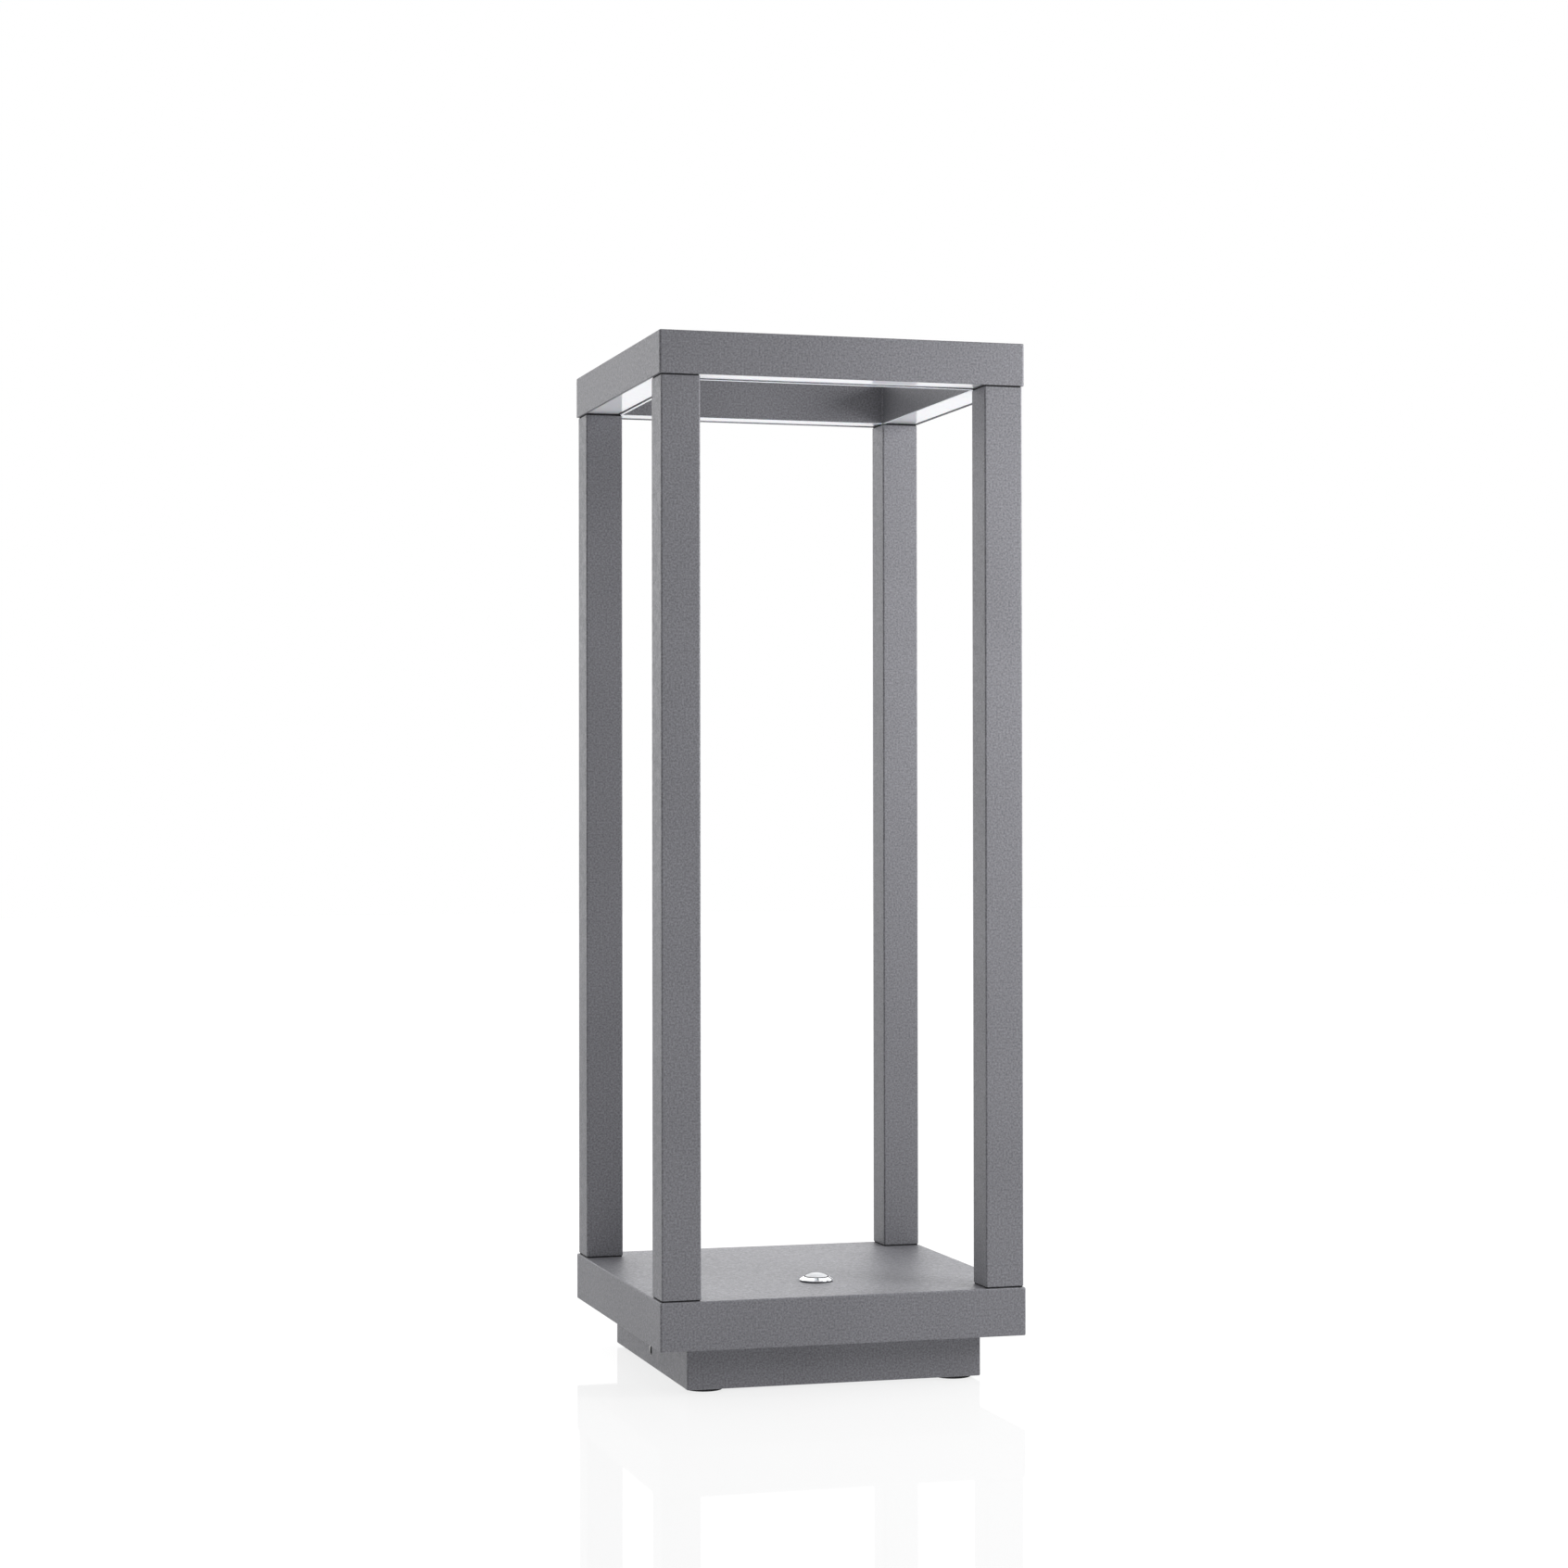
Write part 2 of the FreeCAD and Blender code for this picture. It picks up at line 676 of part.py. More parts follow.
def make_button_cap():
    """Plunger with a domed face, a collar under the stop and a stem inside the spring."""
    body = piece("button_cap")
    rim = "bezel_top_level + cap_rim"
    radius, height = "cap_diameter / 2", "cap_dome"
    turn(body, [
        ("0", rim), (radius, rim), (radius, "collar_top"), ("collar_diameter / 2", "collar_top"),
        ("collar_diameter / 2", "collar_base"), ("stem_diameter / 2", "collar_base"),
        ("stem_diameter / 2", "stem_base"), ("0", "stem_base"),
    ])
    dome_radius = (value(radius) ** 2 + value(height) ** 2) / (2 * value(height))
    drawing = sketch(body, plane="XZ_Plane")
    base, apex = value(rim), value(rim) + value(height)
    centre = FreeCAD.Vector(0, apex - dome_radius, 0)
    start = math.asin(value(radius) / dome_radius)
    arc = Part.ArcOfCircle(Part.Circle(centre, UP, dome_radius), math.pi / 2 - start, math.pi / 2)
    drawing.addGeometry(arc)
    top, middle = FreeCAD.Vector(0, apex, 0), FreeCAD.Vector(0, base, 0)
    drawing.addGeometry(Part.LineSegment(top, middle))
    drawing.addGeometry(Part.LineSegment(middle, FreeCAD.Vector(value(radius), base, 0)))
    for first, last in ((0, 1), (1, 2)):
        drawing.addConstraint(Sketcher.Constraint("Coincident", first, 2, last, 1))
    drawing.addConstraint(Sketcher.Constraint("Coincident", 2, 2, 0, 1))
    hold_point(drawing, 1, 1, "0", f"{rim} + {height}")
    hold_point(drawing, 2, 1, "0", rim)
    hold_point(drawing, 0, 1, radius, rim)
    drawing.addConstraint(Sketcher.Constraint("PointOnObject", 0, 3, -2))
    dome = body.newObject("PartDesign::Revolution", "button_cap_dome")
    dome.Profile = drawing
    dome.ReferenceAxis = (drawing, ["V_Axis"])
    dome.Angle = 360
    doc.recompute()
    place(body, y="-button_forward")


def make_button_small_parts():
    middle = ("0", "-button_forward")
    seal = piece("button_seal")
    rings = [(*middle, "button_flange - 2 * fit_gap"), (*middle, "barrel_diameter + 2 * running_gap")]
    pad(seal, sketch(seal, circles=rings, level="slab_top"), "button_seal")
    nut = piece("button_nut")
    bore = [(*middle, "barrel_diameter + 2 * running_gap")]
    level = "slab_ceiling - button_nut_height"
    pad(nut, sketch(nut, [hexagon("button_nut_flats", *middle)], bore, level=level),
        "button_nut_height")
    block = piece("button_contact_block")
    plug = [(*middle, "collar_diameter + 2 * fit_gap - 2 * running_gap")]
    pad(block, sketch(block, circles=plug, level="block_base"), "block_top - block_base")
    terminals = piece("button_terminals")
    blades = [
        box(f"{side} * terminal_spacing / 2 - terminal_width / 2",
            f"{side} * terminal_spacing / 2 + terminal_width / 2",
            "-button_forward - terminal_thickness / 2", "-button_forward + terminal_thickness / 2")
        for side in (-1, 1)
    ]
    pad(terminals, sketch(terminals, blades, level="block_base"), "terminal_length", down=True)


def make_button_spring():
    """Coil between the cap's collar and the contact block."""
    body = piece("button_spring")
    low, high = "block_top + spring_wire / 2", "collar_base - spring_wire / 2"
    wire = [("spring_diameter / 2", low, "spring_wire")]
    drawing = sketch(body, circles=wire, plane="XZ_Plane")
    coil = body.newObject("PartDesign::AdditiveHelix", "button_spring_coil")
    coil.Profile = drawing
    coil.ReferenceAxis = (drawing, ["V_Axis"])
    coil.Mode = "height-turns-angle"
    bind(coil, "Height", f"({high}) - ({low})")
    bind(coil, "Turns", "spring_turns")
    doc.recompute()
    place(body, y="-button_forward")


# ---------------------------------------------------------------- supply

def make_battery():
    holder = piece("battery_holder")
    length, width = "holder_half_length", "holder_half_width"
    centre = "holder_back"
    tray = box(f"-({length})", length, f"{centre} - {width}", f"{centre} + {width}")
    pad(holder, sketch(holder, [tray], level="floor_top"), "holder_base + holder_rim")
    room = "cell_length / 2 + cell_nub_height + fit_gap"
    wells = [
        box(f"-({room})", room,
            f"{centre} + {side} * cell_apart - (cell_diameter + fit_gap) / 2",
            f"{centre} + {side} * cell_apart + (cell_diameter + fit_gap) / 2")
        for side in (-1, 1)
    ]
    pocket(holder, sketch(holder, wells, level="floor_top + holder_base"), "holder_rim")
    ears = [(x, y, "small_head + 2 * seat_lip") for x, y in holder_screw_places()]
    bridge = [box(f"-({length} + small_head)", f"{length} + small_head",
                  f"{centre} - small_head / 2 - seat_lip",
                  f"{centre} + small_head / 2 + seat_lip")]
    level = "floor_top + holder_base"
    clear = [(x, y, "small_screw + 2 * fit_gap") for x, y in holder_screw_places()]
    pad(holder, sketch(holder, bridge, level=level), "holder_base")
    pad(holder, sketch(holder, circles=ears, level=level), "holder_base")
    pocket(holder, sketch(holder, circles=clear, level=level), "holder_base")
    pocket(holder, sketch(holder, wells, level=level), "holder_rim")

    cells = piece("battery_cells")
    for reach, diameter in (("cell_length / 2", "cell_diameter"),
                            ("cell_length / 2 + cell_nub_height", "cell_nub")):
        rounds = [(f"{centre} + {side} * cell_apart", "cell_axis", diameter) for side in (-1, 1)]
        start = "-(cell_length / 2)"
        drawing = sketch(cells, circles=rounds, plane="YZ_Plane", level=start)
        pad(cells, drawing, f"{reach} + cell_length / 2")

    screws = piece("holder_screws")
    top = "floor_top + 2 * holder_base"
    for diameter, base, height in (
            ("small_head", top, "small_head_height"),
            ("small_screw", "floor_top - floor_thickness / 2 + fit_gap",
             "2 * holder_base + floor_thickness / 2 - fit_gap")):
        rounds = [(x, y, diameter) for x, y in holder_screw_places()]
        pad(screws, sketch(screws, circles=rounds, level=base), height)


def make_driver():
    board = piece("driver_board")
    middle_x, middle_y = "driver_across", "-driver_forward"
    outline = box(f"{middle_x} - driver_length / 2", f"{middle_x} + driver_length / 2",
                  f"{middle_y} - driver_width / 2", f"{middle_y} + driver_width / 2")
    holes = [(x, y, "small_screw + 2 * fit_gap") for x, y in driver_corners()]
    pad(board, sketch(board, [outline], holes, level="driver_base"), "board_thickness")

    parts = piece("board_parts")
    plugs = [box(f"{x} - plug_length / 2", f"{x} + plug_length / 2",
                 f"{y} - plug_width / 2", f"{y} + plug_width / 2") for x, y in board_plugs()]
    pad(parts, sketch(parts, plugs, level="driver_top"), "plug_height")
    choke = [(f"{middle_x} + choke_offset", middle_y, "choke_diameter")]
    pad(parts, sketch(parts, circles=choke, level="driver_top"), "choke_height")
    cans = [(f"{middle_x} + can_offset", f"{middle_y} + {side} * can_spacing / 2", "can_diameter")
            for side in (-1, 1)]
    pad(parts, sketch(parts, circles=cans, level="driver_top"), "can_height")

    screws = piece("board_screws")
    for diameter, base, height in (
            ("small_head", "driver_top", "small_head_height"),
            ("small_screw", "driver_top - small_screw_length", "small_screw_length")):
        rounds = [(x, y, diameter) for x, y in driver_corners()]
        pad(screws, sketch(screws, circles=rounds, level=base), height)


def board_plugs():
    """Plug places on the driver board: battery, button, socket, light ring."""
    left, right = "driver_across - driver_length / 2", "driver_across + driver_length / 2"
    back = "-driver_forward + driver_width / 2"
    return [
        (f"{left} + plug_inset", f"{back} - plug_width / 2 - plug_margin"),
        (f"{left} + plug_length / 2 + plug_margin", "-driver_forward - plug_spacing / 2"),
        (f"{left} + plug_length / 2 + plug_margin", "-driver_forward + plug_spacing / 2"),
        (f"{right} - plug_inset", f"{back} - plug_width / 2 - plug_margin"),
    ]


def make_charging_socket():
    """Barrel socket standing on the floor, its mouth against the inlet in the left wall."""
    body = piece("charging_socket")
    half = "inlet_level - floor_top"
    block = box("-(socket_width / 2)", "socket_width / 2",
                f"inlet_level - ({half})", f"inlet_level + {half}")
    face = "-(plinth_inside)"
    pad(body, sketch(body, [block], plane="YZ_Plane", level=face), "socket_length")
    bore = sketch(body, circles=[("0", "inlet_level", "inlet_diameter")], plane="YZ_Plane",
                  level=face)
    pocket(body, bore, "socket_bore_depth")
    pin = piece("charging_pin")
    round_pin = sketch(pin, circles=[("0", "inlet_level", "pin_diameter")], plane="YZ_Plane",
                       level=f"{face} + socket_bore_depth")
    pad(pin, round_pin, "socket_bore_depth", down=True)
    round_edges(pin, "pin_rounding",
                lambda edge: edge.BoundBox.XMax < value(face) + 1e-6)


# ---------------------------------------------------------------- leads

def route(points):
    """Wire of straight runs joined by tangent arcs, each as large as its two runs allow."""
    edges, start = [], points[0]
    for before, corner, after in zip(points, points[1:], points[2:]):
        inward = (before - corner).normalize()
        outward = (after - corner).normalize()
        half_turn = (math.pi - inward.getAngle(outward)) / 2
        reach = ARC_SHARE * min((before - corner).Length, (after - corner).Length)
        radius = reach / math.tan(half_turn)
        print(f"  bend radius {radius:.1f}")
        first, last = corner + inward * reach, corner + outward * reach
        towards = (inward + outward).normalize()
        middle = corner + towards * (radius / math.cos(half_turn) - radius)
        edges.append(Part.LineSegment(start, first).toShape())
        edges.append(Part.Arc(first, middle, last).toShape())
        start = last
    edges.append(Part.LineSegment(start, points[-1]).toShape())
    return Part.Wire(edges)


def tube(points, diameter):
    path = route(points)
    direction = points[1] - points[0]
    ring = Part.Wire(Part.makeCircle(diameter / 2, points[0], direction))
    shape = path.makePipeShell([ring], True, False)
    expected = math.pi * diameter ** 2 / 4 * path.Length
    print(f"  length {path.Length:.1f}, volume over section times length {shape.Volume / expected:.4f}")
    return shape


def lead(label, routes, diameter):
    """Lead or group of leads, each along its route of (x, y, z) formulas."""
    print(label)
    tubes = []
    for points in routes:
        tubes.append(tube([FreeCAD.Vector(*map(value, point)) for point in points], value(diameter)))
    feature = doc.addObject("Part::Feature", label)
    feature.Label = label
    feature.Shape = tubes[0] if len(tubes) == 1 else Part.makeCompound(tubes)
    pieces.append(feature)


def make_leads():
    battery_plug, button_plug, socket_plug, ring_plug = board_plugs()
    plug_top = "driver_top + plug_height"
    plug_middle = "driver_top + plug_height / 2"
    ring_plug_level = "board_base - ring_plug_height / 2"
    lead("led_cable", [[
        (*ring_plug, plug_top),
        (*ring_plug, "lead_level"),
        ("lead_place", "lead_place - 2 * (slab_ceiling - (lead_level))", "lead_level"),
        ("lead_place", "lead_place", "lead_level"),
        ("lead_place", "lead_place", ring_plug_level),
        ("lead_place", "board_length / 2", ring_plug_level),
    ]], "lead_diameter")
    holder_front = "holder_back - holder_half_width"
    holder_slot = "floor_top + holder_rim - battery_lead_drop"
    lead("battery_cable", [[
        (*battery_plug, plug_top),
        (*battery_plug, f"{plug_top} + battery_lead_rise"),
        (battery_plug[0], f"{holder_front} - battery_lead_room", f"{plug_top} + battery_lead_rise"),
        (battery_plug[0], f"{holder_front} - battery_lead_room", holder_slot),
        (battery_plug[0], holder_front, holder_slot),
    ]], "lead_diameter")
    blade = "terminal_base"
    lead("button_cable", [[
        ("-terminal_spacing / 2", "-button_forward", blade),
        ("-terminal_spacing / 2", "-button_forward", f"{blade} - button_lead_drop"),
        (f"{button_plug[0]} - plug_length", button_plug[1], plug_middle),
        (f"{button_plug[0]} - plug_length / 2", button_plug[1], plug_middle),
    ]], "lead_diameter")
    lead("socket_cable", [[
        ("-(socket_back)", "0", "inlet_level"),
        ("-(socket_back) + socket_lead_run", "0", "inlet_level"),
        (f"{socket_plug[0]} - socket_lead_turn", f"{socket_plug[1]} + plug_width", "inlet_level"),
        (f"{socket_plug[0]} - socket_lead_end", socket_plug[1], plug_middle),
        (f"{socket_plug[0]} - plug_length / 2", socket_plug[1], plug_middle),
    ]], "lead_diameter")
    end = "board_length / 2"
    level = "board_base + board_thickness / 2 - fit_gap / 2"
    near = "board_centre - board_width / 2 + jumper_inset"
    lead("board_jumpers", [
        [(f"{right} * ({end})", f"{back} * ({near})", level),
         (f"{right} * ({near})", f"{back} * ({near})", level),
         (f"{right} * ({near})", f"{back} * ({end})", level)]
        for _, right, back in CORNERS[:3]
    ], "jumper_diameter")


# ---------------------------------------------------------------- assembly

def make_lantern():
    make_top_frame()
    for side, angle in SIDES:
        make_diffuser(side, angle)
        make_diffuser_seal(side, angle)
        make_led_board(side, angle)
    make_led_chips()
    make_led_plug()
    for corner in CORNERS:
        make_post(*corner)
        make_post_seal("lower", "slab_top", *corner)
        make_post_seal("upper", "ring_base - post_seal", *corner)
        make_foot(*corner)
    make_tie_rods()
    make_base_cover()
    make_lower_housing()
    make_housing_seal()
    make_housing_screws()
    make_button_bezel()
    make_button_cap()
    make_button_small_parts()
    make_button_spring()
    make_battery()
    make_driver()
    make_charging_socket()
    make_leads()


def check_and_write():
    doc.recompute()
    for item in doc.Objects:
        if "Invalid" in item.State or "Error" in item.State:
            raise RuntimeError(f"{item.Name} failed: {item.State}")
    for item in pieces:
        if item.Shape.isNull() or not item.Shape.isValid() or not item.Shape.Solids:
            raise RuntimeError(f"{item.Label} has no valid solid")
    os.makedirs("parts", exist_ok=True)
    for item in pieces:
        item.Shape.exportStep(f"parts/{item.Label}.step")
    print(f"{len(pieces)} sub-parts written")


make_lantern()
check_and_write()
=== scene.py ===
"""Looks of the square garden lantern: cage, light ring, slab, plinth and push button."""
import json
import math

import bmesh
import bpy
from mathutils import Matrix, Vector


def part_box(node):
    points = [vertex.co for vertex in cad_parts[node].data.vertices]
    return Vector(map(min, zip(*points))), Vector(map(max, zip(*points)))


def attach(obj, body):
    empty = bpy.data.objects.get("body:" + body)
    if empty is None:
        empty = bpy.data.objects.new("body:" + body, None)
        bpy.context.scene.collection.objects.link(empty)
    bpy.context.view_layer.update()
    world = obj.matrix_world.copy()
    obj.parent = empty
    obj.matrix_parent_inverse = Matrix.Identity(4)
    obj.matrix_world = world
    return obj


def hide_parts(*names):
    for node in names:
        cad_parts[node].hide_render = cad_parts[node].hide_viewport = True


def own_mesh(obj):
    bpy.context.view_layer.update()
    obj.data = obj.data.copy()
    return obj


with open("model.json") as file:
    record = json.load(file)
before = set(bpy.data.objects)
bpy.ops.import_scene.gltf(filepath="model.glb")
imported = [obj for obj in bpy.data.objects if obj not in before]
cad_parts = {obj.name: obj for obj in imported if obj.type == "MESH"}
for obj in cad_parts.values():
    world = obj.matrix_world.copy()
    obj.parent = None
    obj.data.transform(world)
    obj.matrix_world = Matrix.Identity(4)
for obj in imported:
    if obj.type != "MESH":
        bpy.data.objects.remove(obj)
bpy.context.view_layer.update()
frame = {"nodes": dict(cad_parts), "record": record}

MM = 0.001
LANTERN, BUTTON = "lantern", "button"
CORNERS = [(f"{depth}_{side}", right, back)
           for depth, back in (("front", -1), ("back", 1))
           for side, right in (("left", -1), ("right", 1))]
SIDES = (("front", 0), ("right", 90), ("back", 180), ("left", 270))

# Walls, roundings and holes of the pieces, in metres. Holes and bosses are given by radius.
CORNER_ROUND = 1.2 * MM
EDGE_ROUND = 0.6 * MM
SMALL_ROUND = 0.25 * MM
INNER_ROUND = 0.9 * MM
OVERLAP = 1 * MM
RING_WALL = 1.5 * MM
RING_ROOF = 2.5 * MM
RING_BOSS = 4.5 * MM
CORNER_FLOOR = 3 * MM
THREAD_DEPTH = 12 * MM
STRIP_THICKNESS = 2 * MM
STRIP_LEG = 1.2 * MM
STRIP_BARB = 0.5 * MM
SNAP_RIB = 0.6 * MM
HOOK_LEVEL = 5.55 * MM
HIGHLIGHT_BEAD_HEIGHT = 0.25 * MM
SPIGOT_HEIGHT = 4 * MM
SPIGOT_HALF = 8.4 * MM
ROD_HOLE = 2.1 * MM
LEAD_HOLE = 1.8 * MM
POST_WALL = 1.8 * MM
POST_ROUND = 0.9 * MM
SLAB_ROOF = 3 * MM
SLAB_WALL = 4.5 * MM
REBATE_WALL = 2 * MM
SLAB_BOSS = 4 * MM
BARREL_HOLE = 8.1 * MM
FLANGE = 4 * MM
GASKET = 1 * MM
PLINTH_WALL = 2.5 * MM
STANDOFF, STANDOFF_INSET = 3 * MM, 3.5 * MM
HOLDER_SEAT, HOLDER_SEAT_INSET = 3.6 * MM, 2.75 * MM
INLET_BORE, INLET_SEAT, INLET_CHAMFER = 2.8 * MM, 3 * MM, 0.3 * MM
SCREW_SPREAD, SCREW_HEAD = 45 * MM, 3.5 * MM
SCREW_HOLE, SCREW_CLEARANCE, HEAD_RECESS = 2.1 * MM, 2.3 * MM, 3.8 * MM
HEAD_HEIGHT = 2 * MM

# Camera: place, angles in degrees, focal length and sensor width in millimetres.
CAMERA_PLACE = (-0.5006, -1.7251, 0.3015)
CAMERA_YAW, CAMERA_PITCH, CAMERA_ROLL = 16.035, 0.551, -0.076
CAMERA_LENS, CAMERA_SENSOR = 74.55, 36

# Light of the backdrop: axis, side of it, strength.
WORLD_LOBES = ((1, 1, 2.26), (2, 1, 1.3))
# Soft boxes: place, point they face, size in metres, power in watts.
SOFT_BOXES = {
    "right_near": ((0.55, -0.5, 0.5), (0.08, -0.08, 0.35), (0.3, 0.5), 4.6),
    "right_front": ((1.1, -1.3, 0.6), (0, 0, 0.3), (0.8, 0.8), 2.5),
    "right_side": ((1.4, 0.1, 0.7), (0, 0, 0.3), (0.7, 0.7), 8.4),
}


# ------------------------------------------------------------------ outlines

def rounded(points, radii, steps=4, closed=True):
    """Points of a polygon with arcs in place of its corners. A radius of 0 keeps a corner."""
    out = []
    count = len(points)
    for index, (point, radius) in enumerate(zip(points, radii)):
        end = not closed and index in (0, count - 1)
        if radius <= 0 or end:
            out.append(tuple(point))
            continue
        corner = Vector(point)
        before = (Vector(points[index - 1]) - corner).normalized()
        after = (Vector(points[(index + 1) % count]) - corner).normalized()
        half = before.angle(after) / 2
        centre = corner + (before + after).normalized() * (radius / math.sin(half))
        first = corner + before * (radius / math.tan(half)) - centre
        last = corner + after * (radius / math.tan(half)) - centre
        for step in range(steps + 1):
            share = step / steps
            swing = first.slerp(last, share, first)
            out.append(tuple(centre + swing.normalized() * radius))
    return out


def square_loop(half, radius, x=0.0, y=0.0, steps=6):
    """Plan outline of a square with rounded corners, counterclockwise."""
    points = []
    for quarter in range(4):
        start = quarter * math.pi / 2
        cx = (half - radius) * (1 if quarter in (0, 3) else -1)
        cy = (half - radius) * (1 if quarter in (0, 1) else -1)
        for step in range(steps + 1):
            angle = start + step / steps * math.pi / 2
            points.append((x + cx + radius * math.cos(angle), y + cy + radius * math.sin(angle)))
    return points


def circle_loop(radius, x=0.0, y=0.0, count=48):
    """Plan outline of a circle, counterclockwise."""
    return [(x + radius * math.cos(2 * math.pi * step / count),
             y + radius * math.sin(2 * math.pi * step / count)) for step in range(count)]


def hexagon_loop(flats, x=0.0, y=0.0):
    """Plan outline of a hexagon of the given width across its flats."""
    return circle_loop(flats / math.sqrt(3), x, y, 6)


# ------------------------------------------------------------------ solids

def bridge(bm, loops, closed=False, capped=True):
    """Skin over loops of equal length. A closed skin joins its last loop to its first."""
    rings = [[bm.verts.new(point) for point in loop] for loop in loops]
    pairs = list(zip(rings, rings[1:]))
    if closed:
        pairs.append((rings[-1], rings[0]))
    for low, high in pairs:
        size = len(low)
        for index in range(size):
            following = (index + 1) % size
            bm.faces.new((low[index], low[following], high[following], high[index]))
    if capped and not closed:
        bm.faces.new(list(reversed(rings[0])))
        bm.faces.new(rings[-1])


def prism(bm, outline, low, high):
    """Upright prism between two levels."""
    bridge(bm, [[(x, y, z) for x, y in outline] for z in (low, high)])


def square_shell(bm, profile, radius_of, closed, x=0.0, y=0.0):
    """Skin through rounded squares, one for each (half width, height) of the profile."""
    loops = []
    for half, height in profile:
        loops.append([(px, py, height) for px, py in square_loop(half, radius_of(half), x, y)])
    bridge(bm, loops, closed)


def lathe(bm, profile, x=0.0, y=0.0, count=96, closed=True):
    """Solid turned about an upright line. An open profile starts and ends on that line."""
    if closed:
        loops = [[(px, py, z) for px, py in circle_loop(r, x, y, count)] for r, z in profile]
        bridge(bm, loops, closed=True)
        return
    loops = [[(px, py, z) for px, py in circle_loop(r, x, y, count)] for r, z in profile[1:-1]]
    bridge(bm, loops, capped=False)
    bm.verts.ensure_lookup_table()
    size = len(loops) * count
    for (_, height), first in ((profile[0], len(bm.verts) - size),
                               (profile[-1], len(bm.verts) - count)):
        pole = bm.verts.new((x, y, height))
        bm.verts.ensure_lookup_table()
        for index in range(count):
            bm.faces.new((bm.verts[first + index], bm.verts[first + (index + 1) % count], pole))


def level_loops(stations, height):
    """Circles about a level line along X, one for each (x, radius)."""
    return [[(x, y, height + z) for y, z in circle_loop(radius, count=64)]
            for x, radius in stations]


def solid(name, draw):
    """Object whose mesh is what draw(bmesh) makes, with its faces turned outwards."""
    bm = bmesh.new()
    draw(bm)
    bmesh.ops.recalc_face_normals(bm, faces=bm.faces)
    mesh = bpy.data.meshes.new(name)
    bm.to_mesh(mesh)
    bm.free()
    thing = bpy.data.objects.new(name, mesh)
    bpy.context.scene.collection.objects.link(thing)
    return thing


def settle(thing):
    """Replace an object's mesh by its mesh with all modifiers applied."""
    bpy.context.view_layer.update()
    graph = bpy.context.evaluated_depsgraph_get()
    mesh = bpy.data.meshes.new_from_object(thing.evaluated_get(graph))
    thing.modifiers.clear()
    old = thing.data
    thing.data = mesh
    bpy.data.meshes.remove(old)
    mesh.name = thing.name


def combine(thing, operation, draw):
    """Join to or cut from an object what draw(bmesh) makes."""
    tool = solid(thing.name + "_tool", draw)
    step = thing.modifiers.new("combine", "BOOLEAN")
    step.operation = operation
    step.solver = "EXACT"
    step.use_self = True
    step.object = tool
    settle(thing)
    bpy.data.meshes.remove(tool.data)


def finish(thing, finish_name, body=LANTERN, nodes=(), sharp=40):
    """Shade, weight the normals by face area, and tie the piece to the frame."""
    mesh = thing.data
    mesh.shade_smooth()
    mesh.set_sharp_from_angle(angle=math.radians(sharp))
    step = thing.modifiers.new("weighted", "WEIGHTED_NORMAL")
    step.keep_sharp = True
    settle(thing)
    thing.data.materials.clear()
    thing.data.materials.append(bpy.data.materials[finish_name])
    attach(thing, body)
    if nodes:
        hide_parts(*nodes)
    return thing


# ------------------------------------------------------------------ materials

